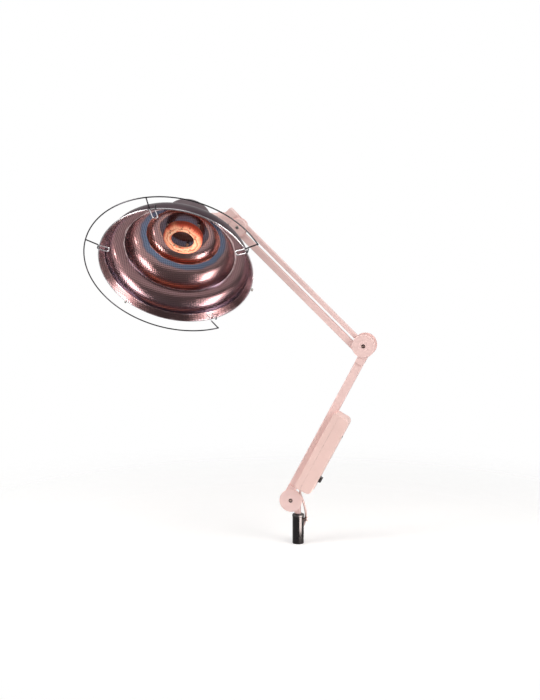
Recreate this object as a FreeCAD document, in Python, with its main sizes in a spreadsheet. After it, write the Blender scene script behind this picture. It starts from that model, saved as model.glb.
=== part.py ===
import FreeCAD, Part
import math
import os
import re
import Sketcher
from FreeCAD import Vector

# Infrared heat therapy lamp on a two-piece arm. Millimetres, +Z up, -Y towards the patient's side of the arm.
# The origin is the centre of the column stub's lower end. The arms move in the XZ plane.

# Each row is a name, a size and what it measures. Angles are in degrees.
sizeTable = [
    # column
    ("columnRadius", 12, "outside of the black column"),
    ("columnWall", 1.5, "wall of the column"),
    ("columnHeight", 58, "top of the tube"),
    ("seatLength", 12, "part of the tube that sits in the stand's socket"),
    ("seatGroove", 0.4, "depth of the groove above it; it is twice as wide"),
    ("capRadius", 12.6, "rounded cap on the column"),
    ("capRise", 6, "height of the cap above the tube"),
    ("capRound", 3, "rounding of the cap's upper edge"),
    ("capPlug", 24, "depth of the cap's plug in the tube"),
    ("pressGap", 0.05, "radial gap of pieces pressed together"),
    ("runGap", 0.08, "radial gap of a pin that turns"),
    ("faceGap", 0.2, "gap between faces that slide past each other"),
    ("connectorStart", 1, "lower face of the connector inside the tube"),
    ("connectorLength", 24, "length of the connector inside the tube"),
    ("connectorEntry", 4, "depth at which the lead ends in the connector"),
    # wing screw
    ("wingScrewHeight", 52.5, "axis of the wing screw"),
    ("wingThreadRadius", 3, "thread of the wing screw"),
    ("wingHubStart", 14, "inner face of the hub"),
    ("wingHubLength", 4.4, "length of the hub"),
    ("wingHubRadius", 4.3, "radius of the hub"),
    ("wingReach", 4.7, "reach of the wings beyond the hub"),
    ("wingSpan", 6.6, "height of a wing's tip above the axis"),
    ("wingThickness", 2.2, "thickness of a wing"),
    # swivel bracket
    ("spigotRadius", 5, "spigot that turns in the cap"),
    ("spigotLength", 32, "length of the spigot below the cap's top"),
    ("shoulderRadius", 6.4, "shoulder that rests on the cap"),
    ("shoulderHeight", 2.4, "height of the shoulder"),
    ("neckHalfWidth", 5, "half the width of the neck"),
    ("basePivotX", -13, "base pivot, across"),
    ("basePivotHeight", 94.5, "base pivot, up"),
    ("lugRadius", 12, "eye of the bracket"),
    ("barDepth", 12, "depth of the bars and of the bracket's eye"),
    # lower arm
    ("lowerArmAngle", 62.4, "angle of the channel above the horizontal"),
    ("elbowAlong", 362, "elbow pivot from base pivot, along the channel"),
    ("elbowOffset", 19.3, "elbow pivot from base pivot, across the channel"),
    ("pivotRadius", 4, "pivot bolts"),
    ("socketAcross", 4.4, "width across the flats of a bolt's socket"),
    ("socketDepth", 3, "depth of a bolt's socket"),
    ("nutAcross", 13, "width across the flats of a nut"),
    ("nutHeight", 4.5, "height of a nut"),
    ("boltProud", 0.5, "how far a bolt's end stands out of its disc"),
    ("channelStart", 16, "lower end of the channel"),
    ("channelEndGap", 30, "upper end of the channel to the elbow pivot"),
    ("channelLow", 1.8, "right face of the channel from the base pivot"),
    ("channelWidth", 18, "width of the channel"),
    ("channelDepth", 22, "depth of the channel"),
    ("channelWall", 1.6, "wall of the channel"),
    ("channelRound", 2, "rounding of the channel's corners"),
    ("plateThickness", 4, "fork plates"),
    ("plateRadius", 22, "round part of a fork plate"),
    ("rearPlateRadius", 16, "round part of the rear fork plate at the base"),
    ("plateTab", 28, "reach of a fork plate's tab from its pivot"),
    ("elbowTab", 38, "reach of an elbow plate's tab from its pivot"),
    ("discRadius", 24, "cover discs"),
    ("discThickness", 3, "thickness of a cover disc"),
    ("discRound", 1.2, "rounding of a cover disc's edge"),
    ("washerRadius", 10, "friction washers at the base"),
    ("spacerRadius", 7.5, "spacers on the elbow bolt"),
    ("smallSpacerRadius", 5.5, "spacers on the lower bar's pin"),
    # control box, on the channel's right side
    ("boxStart", 34, "lower end of the box"),
    ("boxLength", 180, "length of the box"),
    ("boxBack", 6, "back of the box, behind the arm's plane"),
    ("boxFront", 36, "front of the box, before the arm's plane"),
    ("boxLip", 6.5, "reach of the base shell over the channel's front"),
    ("boxSeam", 6.5, "parting of the two shells from the base pivot"),
    ("boxRight", 31, "right face of the cover shell from the base pivot"),
    ("boxWall", 2, "wall of both shells"),
    ("boxCorner", 11, "rounding of the cover shell's corners"),
    ("boxEdge", 2, "slope of the base shell's front arris"),
    ("coverScrewAlong", 172.7, "cover screw along the arm"),
    ("coverScrewRadius", 1.7, "cover screw"),
    ("coverScrewHead", 0.9, "height of the cover screw's head"),
    ("postRadius", 4, "post that takes the cover screw"),
    ("switchAlong", 70.6, "middle of the switch along the arm"),
    ("switchDepth", 15, "middle of the switch before the arm's plane"),
    ("switchLength", 11, "button along the arm"),
    ("switchWidth", 14, "button across the arm"),
    ("switchProud", 5.6, "button above the box at rest"),
    ("switchTravel", 2.5, "travel of the button"),
    ("switchBodyDepth", 15, "switch body inside the box"),
    ("bezelRim", 1.4, "width of the switch's bezel"),
    ("bezelHeight", 0.8, "height of the switch's bezel"),
    ("blockLength", 40, "terminal block"),
    ("blockWidth", 16, "width of the terminal block"),
    ("blockHeight", 13, "height of the terminal block"),
    ("fuseRadius", 4.5, "fuse holder"),
    ("fuseLength", 26, "length of the fuse holder"),
    # lead
    ("leadRadius", 2.4, "mains lead"),
    ("glandDepth", 9, "gland before the arm's plane"),
    ("glandReach", 4, "gland below the box"),
    ("glandRadius", 4.6, "flange of the gland"),
    ("glandNeck", 3.4, "neck of the gland and of the grommet"),
    ("grommetHeight", 18, "grommet in the column's back"),
    ("grommetRadius", 5, "flange of the grommet"),
    ("grommetFlange", 2, "thickness of the grommet's flange"),
    # bars of the upper arm
    ("upperArmAngle", 136, "angle of the bars above the horizontal"),
    ("barLength", 356, "distance between the pivots of a bar"),
    ("barSpacing", 17.5, "distance between the two bars' pivots"),
    ("upperBarThickness", 9, "upper bar"),
    ("lowerBarThickness", 13.5, "lower bar"),
    ("upperEyeRadius", 6, "eyes of the upper bar"),
    ("barPinRadius", 3, "pins of the bars"),
    # head link
    ("linkDiscRadius", 18.7, "round covers over the bars' ends"),
    ("linkDiscOffset", 12, "centre of the covers below the upper pivot"),
    ("linkCheek", 3, "cheeks of the fork"),
    ("linkCover", 3, "thickness of a round cover"),
    ("linkScrewRadius", 3.4, "head of the screw in a cover"),
    ("linkScrewLength", 5, "shank of the screw in a cover"),
    ("knuckleStart", 19, "knuckle block from the bars' upper pivot"),
    ("knuckleLength", 20, "length of the knuckle block"),
    ("knuckleRise", 5.5, "knuckle block above the upper pivot"),
    ("knuckleWidth", 34, "width of the knuckle block"),
    ("knuckleDepth", 24, "depth of the knuckle block"),
    ("knuckleBarrel", 10, "round barrel about the tilt axis"),
    ("barrelReach", 22, "reach of the barrel towards the head"),
    ("spindleBlind", 13, "reach of the spindle past the tilt axis point"),
    # head: depths are measured rearwards from the rim's plane
    ("headAside", 84.7, "head's centre line from the knuckle"),
    ("headTilt", 38.5, "head's rearward axis above the horizontal"),
    ("tiltDepth", 150, "tilt axis behind the rim"),
    ("sheetThickness", 1.2, "sheet of the reflector"),
    ("rimRadius", 158, "outside of the rim"),
    ("rimLip", 3, "depth of the rim's lip"),
    ("ridgeRadiusA", 148, "first ridge"),
    ("ridgeDepthA", 12, "first ridge, behind the rim"),
    ("ridgeRadiusB", 114, "second ridge"),
    ("ridgeDepthB", 47, "second ridge, behind the rim"),
    ("ridgeRadiusC", 89, "third ridge, outer edge of the flat band"),
    ("ridgeDepthC", 82, "third ridge, behind the rim"),
    ("ridgeRadiusD", 76, "fourth ridge, inner edge of the flat band"),
    ("ridgeDepthD", 86, "fourth ridge, behind the rim"),
    ("plateRadiusBack", 52.5, "flat back of the reflector"),
    ("reflectorDepth", 105, "flat back, behind the rim"),
    ("bulgeA", 12.5, "bulge between first and second ridge"),
    ("bulgeB", 7.5, "bulge between second and third ridge"),
    ("bulgeD", 6, "bulge between fourth ridge and back"),
    ("heaterRadius", 40.5, "outside of the ceramic heater"),
    ("heaterBore", 23.6, "hole of the ceramic heater at its front"),
    ("heaterBackBore", 34, "hole of the ceramic heater at its back"),
    ("heaterLip", 3.5, "thickness of the heater at its hole"),
    ("heaterThickness", 16, "height of the ceramic heater"),
    ("heaterRound", 5, "rounding of the heater's outer edge"),
    ("heaterStandoff", 11, "heater above the reflector's back"),
    ("postCount", 3, "ceramic posts under the heater"),
    ("heaterPost", 3, "radius of a ceramic post"),
    ("backScrewRadius", 4, "screw in the reflector's back"),
    ("backScrewHeight", 2, "height of that screw's head"),
    ("rearCapRadius", 47, "round cap behind the reflector"),
    ("rearCapWall", 1.5, "wall of the rear cap"),
    ("rearCapTop", 159, "top of the rear cap, behind the rim"),
    ("rearCapRound", 10, "rounding of the rear cap's edge"),
    ("spindleRadius", 6, "tilt spindle"),
    ("spindleCollar", 8.5, "collar on the spindle"),
    ("clipOutside", 7.2, "clip that holds the spindle in the yoke"),
    ("clipThickness", 2, "thickness of that clip"),
    ("yokeHalfWidth", 24, "half the width of the yoke inside the cap"),
    ("yokeDepth", 24, "depth of the yoke"),
    ("yokeSheet", 3, "thickness of the yoke"),
    ("yokeRise", 7, "yoke beyond the tilt axis"),
    ("headBlockLength", 30, "terminal block in the head"),
    ("headBlockWidth", 12, "width of the terminal block in the head"),
    ("headBlockHeight", 10, "height of the terminal block in the head"),
    ("guardRadius", 189, "guard ring, to the middle of its wire"),
    ("guardDepth", 3, "guard ring, behind the rim"),
    ("guardWire", 1.35, "radius of the guard's wire"),
    ("hookReach", 138.5, "tip of a hook from the head's centre line"),
    ("hookWidth", 11, "distance between a hook's two legs"),
    ("hookBend", 2.5, "bends of a hook"),
    ("hookEnd", 9, "end of a hook behind the rim"),
    ("hookClear", 0.3, "gap between a hook and the rim or its wire"),
    ("rimWireRadius", 0.9, "thin wire behind the rim"),
    ("rimWireDepth", 1.6, "thin wire, behind the rim"),
    ("clipRadius", 2.2, "clips on the thin wire"),
    ("clipLength", 5, "length of a clip"),
    ("firstHookAngle", 341.5, "angle of the first hook"),
    ("secondHookAngle", 69, "angle of the second hook"),
    ("thirdHookAngle", 200, "angle of the third hook"),
    ("fourthHookAngle", 262.5, "angle of the fourth hook"),
    ("firstClipAngle", 139.5, "angle of the first clip"),
    ("secondClipAngle", 22.5, "angle of the second clip"),
]

document = FreeCAD.newDocument("InfraredLamp")
sheet = document.addObject("Spreadsheet::Sheet", "Sizes")
for row, (alias, number, note) in enumerate(sizeTable, start=1):
    sheet.set(f"A{row}", note)
    sheet.set(f"B{row}", str(number))
    sheet.setAlias(f"B{row}", alias)
document.recompute()

sizeNames = {alias for alias, number, note in sizeTable}
nodes = {}


# ---------------------------------------------------------------- expressions

def bound(text):
    """Write the sheet's names in an expression as references to their cells."""
    return re.sub(r"[A-Za-z]\w*", lambda word: "Sizes." + word[0] if word[0] in sizeNames else word[0], text)


def size(text):
    """The number that an expression gives."""
    result = sheet.evalExpression(bound(text))
    return float(getattr(result, "Value", result))


def at(x="0", y="0", z="0", axis="0; 0; 1", turn="0"):
    """A placement as an expression."""
    return f"placement(vector({x}; {y}; {z}); rotation(vector({axis}); {turn}))"


def placed(frame):
    """The placement that an expression gives."""
    return sheet.evalExpression(bound(frame))


# Frames: the arm frames have x along the arm and z across it, in the plane of the arms.
world = at()
wingFrame = at(z="wingScrewHeight")
lowerFrame = at("basePivotX", "0", "basePivotHeight", "0; 1; 0", "-lowerArmAngle")
elbowFrame = lowerFrame + " * " + at("elbowAlong", "0", "elbowOffset")
barFrame = elbowFrame + " * " + at(axis="0; 1; 0", turn="lowerArmAngle - upperArmAngle")
lowerBarFrame = barFrame + " * " + at(z="barSpacing")
linkFrame = barFrame + " * " + at("barLength")
knuckleX = "(knuckleStart + knuckleLength / 2)"
knuckleZ = "(knuckleWidth / 2 - knuckleRise)"
tiltFrame = linkFrame + " * " + at(knuckleX, "0", knuckleZ, "0; 1; 0", "upperArmAngle")
headFrame = (tiltFrame + " * " + at("-headAside", "0", "0", "1; 0; 0", "headTilt - 90")
             + " * " + at(z="-tiltDepth"))

# Faces that several pieces share, measured from the arm's plane.
capTop = "(columnHeight + capRise)"
channelFace = "(channelDepth / 2)"
plateFace = "(channelDepth / 2 + plateThickness)"
discFace = "(channelDepth / 2 + plateThickness + discThickness)"
slotFace = "(barDepth / 2 + faceGap)"
cheekFace = "(barDepth / 2 + faceGap + linkCheek)"
coverFace = "(barDepth / 2 + faceGap + linkCheek + linkCover)"
sheetBack = "(reflectorDepth + sheetThickness)"
heaterFront = "(reflectorDepth - heaterStandoff - heaterThickness)"
heaterBack = "(reflectorDepth - heaterStandoff)"


# ---------------------------------------------------------------- bodies, sketches and features

def newBody(label, frame=world):
    body = document.addObject("PartDesign::Body", label)
    body.Label = label
    body.setExpression("Placement", bound(frame))
    nodes[label] = body
    return body


def newSketch(body, plane, offset="0"):
    """A sketch on one of the body's own planes, moved along that plane's normal."""
    sketch = body.newObject("Sketcher::SketchObject", body.Name + "Sketch")
    support = [feature for feature in body.Origin.OriginFeatures if feature.Role == plane + "_Plane"]
    sketch.AttachmentSupport = [(support[0], "")]
    sketch.MapMode = "FlatFace"
    sketch.setExpression("AttachmentOffset.Base.z", bound(offset))
    return sketch


def pin(sketch, geometry, point, x, y):
    """Hold a point of the sketch at x, y."""
    for kind, place in (("DistanceX", x), ("DistanceY", y)):
        index = sketch.addConstraint(Sketcher.Constraint(kind, -1, 1, geometry, point, size(place)))
        sketch.setExpression(f"Constraints[{index}]", bound(place))


def circle(sketch, radius, x="0", y="0"):
    geometry = sketch.addGeometry(Part.Circle(Vector(size(x), size(y), 0), Vector(0, 0, 1), size(radius)))
    pin(sketch, geometry, 3, x, y)
    index = sketch.addConstraint(Sketcher.Constraint("Radius", geometry, size(radius)))
    sketch.setExpression(f"Constraints[{index}]", bound(radius))


def outline(sketch, points):
    """A closed outline. A point is (x, y), or (through x, through y, x, y) where an arc leads to it."""
    ends = [point[-2:] for point in points]
    spots = [Vector(size(x), size(y), 0) for x, y in ends]
    edges = []
    for number, point in enumerate(points):
        last = spots[number - 1]
        if len(point) == 4:
            middle = Vector(size(point[0]), size(point[1]), 0)
            edges.append(sketch.addGeometry(Part.Arc(last, middle, spots[number])))
            helper = sketch.addGeometry(Part.Point(middle), True)
            pin(sketch, helper, 1, point[0], point[1])
            sketch.addConstraint(Sketcher.Constraint("PointOnObject", helper, 1, edges[-1]))
        else:
            edges.append(sketch.addGeometry(Part.LineSegment(last, spots[number])))

    def nearest(edge, spot):
        return min((1, 2), key=lambda end: sketch.getPoint(edge, end).distanceToPoint(spot))

    for number, edge in enumerate(edges):
        follower = edges[(number + 1) % len(edges)]
        spot = spots[number]
        here = nearest(edge, spot)
        sketch.addConstraint(Sketcher.Constraint("Coincident", edge, here, follower, nearest(follower, spot)))
        pin(sketch, edge, here, *ends[number])


def rectangle(sketch, left, low, right, high):
    outline(sketch, [(left, low), (right, low), (right, high), (left, high)])


def roundedRectangle(sketch, left, low, right, high, corner):
    """A rectangle with quarter-round corners."""
    inset = f"({corner} * (1 - sqrt(0.5)))"
    outline(sketch, [
        (f"{right} - {corner}", low),
        (f"{right} - {inset}", f"{low} + {inset}", right, f"{low} + {corner}"),
        (right, f"{high} - {corner}"),
        (f"{right} - {inset}", f"{high} - {inset}", f"{right} - {corner}", high),
        (f"{left} + {corner}", high),
        (f"{left} + {inset}", f"{high} - {inset}", left, f"{high} - {corner}"),
        (left, f"{low} + {corner}"),
        (f"{left} + {inset}", f"{low} + {inset}", f"{left} + {corner}", low),
    ])


def hexagon(sketch, across, x="0", y="0"):
    outline(sketch, [
        (f"{x} + {across} / sqrt(3) * cos({60 * corner})", f"{y} + {across} / sqrt(3) * sin({60 * corner})")
        for corner in range(6)
    ])


def feature(body, kind, sketch, length, symmetric=False, reverse=False):
    """A pad or pocket of one sketch."""
    made = body.newObject("PartDesign::" + kind, body.Name + kind)
    made.Profile = sketch
    made.setExpression("Length", bound(length))
    made.SideType = "Symmetric" if symmetric else "One side"
    made.Reversed = reverse
    return made


def pad(body, sketch, length, symmetric=False, reverse=False):
    return feature(body, "Pad", sketch, length, symmetric, reverse)


def pocket(body, sketch, length, symmetric=False, reverse=False):
    return feature(body, "Pocket", sketch, length, symmetric, reverse)


def revolve(body, sketch, axis="V_Axis"):
    made = body.newObject("PartDesign::Revolution", body.Name + "Revolution")
    made.Profile = sketch
    made.ReferenceAxis = (sketch, [axis])
    made.Angle = 360
    return made


# ---------------------------------------------------------------- primitives for groups of pieces

facingBack = "1; 0; 0"


def rod(frame, radius, length, bore=None):
    """A cylinder along its frame's z axis, with a bore if one is given."""
    solid = document.addObject("Part::Cylinder", "Rod")
    solid.setExpression("Radius", bound(radius))
    solid.setExpression("Height", bound(length))
    solid.setExpression("Placement", bound(frame))
    return cut(solid, rod(frame, bore, length)) if bore else solid


def block(frame, length, depth, height):
    solid = document.addObject("Part::Box", "Block")
    solid.setExpression("Length", bound(length))
    solid.setExpression("Width", bound(depth))
    solid.setExpression("Height", bound(height))
    solid.setExpression("Placement", bound(frame))
    return solid


def cut(base, *tools):
    for tool in tools:
        result = document.addObject("Part::Cut", "Cut")
        result.Base = base
        result.Tool = tool
        base = result
    return base


def fused(*pieces):
    result = document.addObject("Part::MultiFuse", "Fusion")
    result.Shapes = list(pieces)
    return result


def named(label, piece):
    piece.Label = label
    nodes[label] = piece
    return piece


def group(label, pieces):
    """Separate solids that share a node."""
    result = document.addObject("Part::Compound", label)
    result.Links = list(pieces)
    return named(label, result)


def backwards(frame, x, start, z):
    """A frame whose z axis points to the back of the lamp, starting at the depth given."""
    return frame + " * " + at(x, start, z, facingBack, "-90")


def pair(frame, x, z, radius, bore, inner, outer):
    """Two rings, one each side of the arm's plane."""
    length = f"({outer} - {inner})"
    return [rod(backwards(frame, x, side, z), radius, length, bore) for side in (f"-{outer}", inner)]


def coverDisc(label, frame, radius, inner, outer, bore, x="0", z="0", front=True):
    """A round cover with a softened outer edge."""
    sign = "-1" if front else "1"
    body = newBody(label, frame + " * " + at(x, "0", z))
    sketch = newSketch(body, "XY")
    soft = "(discRound * (1 - sqrt(0.5)))"
    outline(sketch, [
        (bore, f"{sign} * {inner}"),
        (radius, f"{sign} * {inner}"),
        (radius, f"{sign} * ({outer} - discRound)"),
        (f"{radius} - {soft}", f"{sign} * ({outer} - {soft})",
         f"{radius} - discRound", f"{sign} * {outer}"),
        (bore, f"{sign} * {outer}"),
    ])
    revolve(body, sketch)


def socketBolt(label, frame, front, length, radius="pivotRadius"):
    """A pin whose front end has a hexagon socket."""
    body = newBody(label, frame)
    sketch = newSketch(body, "XZ", front)
    circle(sketch, radius)
    pad(body, sketch, length, reverse=True)
    socket = newSketch(body, "XZ", front)
    hexagon(socket, "socketAcross")
    pocket(body, socket, "socketDepth")


def nut(label, frame, start, bore="pivotRadius"):
    """A hexagon nut whose near face lies at the depth given behind the arm's plane."""
    body = newBody(label, frame)
    sketch = newSketch(body, "XZ", f"-{start}")
    hexagon(sketch, "nutAcross")
    circle(sketch, f"{bore} + pressGap")
    pad(body, sketch, "nutHeight", reverse=True)


# ---------------------------------------------------------------- tubes along a route

def tube(points, radius, kind):
    """A round tube along straight runs joined by arcs, each as large as its two runs allow."""
    route = [Vector(*point) for point in points]
    edges = []
    start = route[0]
    bends = []
    for before, corner, after in zip(route, route[1:], route[2:]):
        inward = (before - corner).normalize()
        outward = (after - corner).normalize()
        shorter = min(corner.distanceToPoint(before), corner.distanceToPoint(after))
        setback = 0.45 * shorter
        entry = corner + inward * setback
        leave = corner + outward * setback
        half = (math.pi - inward.getAngle(outward)) / 2
        bend = setback / math.tan(half)
        middle = corner + (inward + outward).normalize() * (bend / math.cos(half) - bend)
        bends.append(bend)
        edges.append(Part.LineSegment(start, entry).toShape())
        edges.append(Part.Arc(entry, middle, leave).toShape())
        start = leave
    edges.append(Part.LineSegment(start, route[-1]).toShape())
    path = Part.Wire(edges)
    section = Part.Wire(Part.Circle(route[0], route[1] - route[0], radius).toShape())
    solid = path.makePipeShell([section], True, False)
    expected = math.pi * radius ** 2 * path.Length
    radii = ", ".join(f"{bend:.1f}" for bend in bends)
    print(f"{kind}: radii {radii}; volume ratio {solid.Volume / expected:.4f}")
    return solid


def shaped(label, shape, frame=world):
    """A node whose shape is made by Part's own functions."""
    piece = document.addObject("Part::Feature", label)
    piece.Shape = shape
    piece.Placement = placed(frame)
    return named(label, piece)


# ---------------------------------------------------------------- column

def columnTube():
    body = newBody("column_tube")
    sketch = newSketch(body, "XY")
    circle(sketch, "columnRadius")
    circle(sketch, "columnRadius - columnWall")
    pad(body, sketch, "columnHeight")
    groove = newSketch(body, "XY", "seatLength")
    circle(groove, "columnRadius + 1")
    circle(groove, "columnRadius - seatGroove")
    pocket(body, groove, "seatGroove * 2", reverse=True)
    thread = newSketch(body, "YZ")
    circle(thread, "wingThreadRadius + faceGap", "0", "wingScrewHeight")
    pocket(body, thread, "columnRadius + 1", reverse=True)
    entry = newSketch(body, "XZ")
    circle(entry, "glandNeck + pressGap", "0", "grommetHeight")
    pocket(body, entry, "columnRadius + 1")


def columnCap():
    body = newBody("column_cap")
    sketch = newSketch(body, "XZ")
    bore = "(spigotRadius + runGap)"
    plug = "(columnRadius - columnWall - pressGap)"
    soft = "(capRound * (1 - sqrt(0.5)))"
    outline(sketch, [
        (bore, "columnHeight - capPlug"),
        (plug, "columnHeight - capPlug"),
        (plug, "columnHeight"),
        ("capRadius", "columnHeight"),
        ("capRadius", f"{capTop} - capRound"),
        (f"capRadius - {soft}", f"{capTop} - {soft}", "capRadius - capRound", capTop),
        (bore, capTop),
    ])
    revolve(body, sketch)
    thread = newSketch(body, "YZ")
    circle(thread, "wingThreadRadius + faceGap", "0", "wingScrewHeight")
    pocket(body, thread, "columnRadius", reverse=True)


def supplyConnector():
    body = newBody("supply_connector", at(z="connectorStart"))
    sketch = newSketch(body, "XY")
    circle(sketch, "columnRadius - columnWall - pressGap")
    pad(body, sketch, "connectorLength")
    entry = newSketch(body, "XZ", "-connectorEntry")
    circle(entry, "leadRadius + pressGap", "0", "grommetHeight - connectorStart")
    pocket(body, entry, "columnRadius")


def leadGrommet():
    body = newBody("lead_grommet", at(z="grommetHeight"))
    sketch = newSketch(body, "XY")
    bore = "(leadRadius + pressGap)"
    outline(sketch, [
        (bore, "columnRadius - columnWall"),
        ("glandNeck", "columnRadius - columnWall"),
        ("glandNeck", "columnRadius"),
        ("grommetRadius", "columnRadius"),
        ("grommetRadius", "columnRadius + grommetFlange"),
        (bore, "columnRadius + grommetFlange"),
    ])
    revolve(body, sketch)


def wingScrew():
    body = newBody("wing_screw", wingFrame)
    sketch = newSketch(body, "XZ")
    hubEnd = "(wingHubStart + wingHubLength)"
    outline(sketch, [
        ("spigotRadius + faceGap", "0"),
        (hubEnd, "0"),
        (hubEnd, "wingHubRadius"),
        ("wingHubStart", "wingHubRadius"),
        ("wingHubStart", "wingThreadRadius"),
        ("spigotRadius + faceGap", "wingThreadRadius"),
    ])
    revolve(body, sketch, "H_Axis")
    wings = newSketch(body, "XZ")
    for side in ("1", "-1"):
        outline(wings, [
            (f"{hubEnd} - wingHubLength / 2", f"{side} * wingHubRadius / 2"),
            (f"{hubEnd} - wingHubLength / 4", f"{side} * wingHubRadius * 0.95"),
            (f"{hubEnd} + wingReach * 0.6", f"{side} * wingSpan"),
            (f"{hubEnd} + wingReach", f"{side} * wingSpan * 0.9"),
            (f"{hubEnd} + wingReach", f"{side} * wingSpan * 0.6"),
            (f"{hubEnd} - wingHubLength / 8", f"{side} * wingHubRadius / 4"),
        ])
    pad(body, wings, "wingThickness", symmetric=True)


def pivotBracket():
    body = newBody("pivot_bracket")
    sketch = newSketch(body, "XZ")
    shoulderTop = f"({capTop} + faceGap + shoulderHeight)"
    outline(sketch, [
        ("0", f"{capTop} - spigotLength"),
        ("spigotRadius", f"{capTop} - spigotLength"),
        ("spigotRadius", f"{capTop} + faceGap"),
        ("shoulderRadius", f"{capTop} + faceGap"),
        ("shoulderRadius", shoulderTop),
        ("0", shoulderTop),
    ])
    revolve(body, sketch)
    web = newSketch(body, "XZ")
    outline(web, [
        ("-neckHalfWidth", f"{shoulderTop} - shoulderHeight / 2"),
        ("neckHalfWidth", f"{shoulderTop} - shoulderHeight / 2"),
        ("neckHalfWidth", "basePivotHeight - lugRadius"),
        ("basePivotX + lugRadius * cos(35)", "basePivotHeight + lugRadius * sin(35)"),
        ("basePivotX", "basePivotHeight"),
        ("basePivotX - lugRadius * cos(40)", "basePivotHeight - lugRadius * sin(40)"),
    ])
    pad(body, web, "barDepth", symmetric=True)
    eye = newSketch(body, "XZ")
    circle(eye, "lugRadius", "basePivotX", "basePivotHeight")
    pad(body, eye, "barDepth", symmetric=True)
    bore = newSketch(body, "XZ")
    circle(bore, "pivotRadius + runGap", "basePivotX", "basePivotHeight")
    pocket(body, bore, "barDepth + 1", symmetric=True)


# ---------------------------------------------------------------- lower arm

channelHigh = "(channelLow + channelWidth)"


def armChannel():
    body = newBody("arm_channel", lowerFrame)
    sketch = newSketch(body, "YZ", "channelStart")
    roundedRectangle(sketch, f"-{channelFace}", "channelLow", channelFace, channelHigh, "channelRound")
    inside = f"({channelFace} - channelWall)"
    rectangle(sketch, f"-{inside}", "channelLow + channelWall", inside, f"{channelHigh} - channelWall")
    pad(body, sketch, "elbowAlong - channelEndGap - channelStart")


def forkPlate(label, front, radius, tabStart, tabEnd, pivotX="0", pivotZ="0", pinX=None, pinZ=None):
    """A plate on one face of the channel: a disc about the pivot and a tab along the channel."""
    body = newBody(label, lowerFrame)
    offset = channelFace if front else f"-{channelFace}"
    flip = not front
    disc = newSketch(body, "XZ", offset)
    circle(disc, radius, pivotX, pivotZ)
    pad(body, disc, "plateThickness", reverse=flip)
    tab = newSketch(body, "XZ", offset)
    rectangle(tab, tabStart, "channelLow", tabEnd, channelHigh)
    pad(body, tab, "plateThickness", reverse=flip)
    bores = newSketch(body, "XZ", offset)
    circle(bores, "pivotRadius + pressGap", pivotX, pivotZ)
    if pinX:
        circle(bores, "barPinRadius + pressGap", pinX, pinZ)
    pocket(body, bores, "plateThickness", reverse=not flip)


def lowerPinPlace():
    """The lower bar's pivot on the lower arm, in the lower arm's frame."""
    turn = "(upperArmAngle - lowerArmAngle)"
    return (f"(elbowAlong - barSpacing * sin({turn}))", f"(elbowOffset + barSpacing * cos({turn}))")


def baseKnuckle():
    forkPlate("base_front_plate", True, "plateRadius", "pivotRadius * 2", "plateTab")
    forkPlate("base_rear_plate", False, "rearPlateRadius", "pivotRadius * 2", "plateTab")
    coverDisc("base_disc", lowerFrame, "discRadius", plateFace, discFace, "pivotRadius + pressGap")
    group("base_washers", pair(lowerFrame, "0", "0", "washerRadius", "pivotRadius + pressGap",
                               slotFace, channelFace))
    socketBolt("base_bolt", lowerFrame, f"{discFace} + boltProud",
               f"{discFace} + boltProud + {plateFace} + nutHeight")
    nut("base_nut", lowerFrame, plateFace)


def elbowKnuckle():
    pinX, pinZ = lowerPinPlace()
    for side in ("front", "rear"):
        forkPlate(f"elbow_{side}_plate", side == "front", "plateRadius", "elbowAlong - elbowTab",
                  "elbowAlong - plateRadius / 2", "elbowAlong", "elbowOffset", pinX, pinZ)
        coverDisc(f"elbow_{side}_disc", elbowFrame, "discRadius", plateFace, discFace,
                  "pivotRadius + pressGap", front=side == "front")
    bolt = pair(elbowFrame, "0", "0", "spacerRadius", "pivotRadius + pressGap", slotFace, channelFace)
    lower = pair(lowerFrame, pinX, pinZ, "smallSpacerRadius", "barPinRadius + pressGap",
                 slotFace, channelFace)
    group("elbow_spacers", bolt + lower)
    socketBolt("elbow_bolt", elbowFrame, f"{discFace} + boltProud",
               f"{discFace} * 2 + boltProud + nutHeight")
    nut("elbow_nut", elbowFrame, discFace)
    named("lower_bar_pin", rod(backwards(lowerFrame, pinX, f"-{plateFace}", pinZ), "barPinRadius",
                               f"{plateFace} * 2"))


# ---------------------------------------------------------------- control box

boxEnd = "(boxStart + boxLength)"
glandPlace = ("-glandDepth", "-boxSeam")


def glandHole(body):
    """The half hole that a shell leaves for the gland."""
    hole = newSketch(body, "YZ", "boxStart")
    circle(hole, "glandNeck + pressGap", *glandPlace)
    pocket(body, hole, "boxWall", reverse=True)


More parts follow.
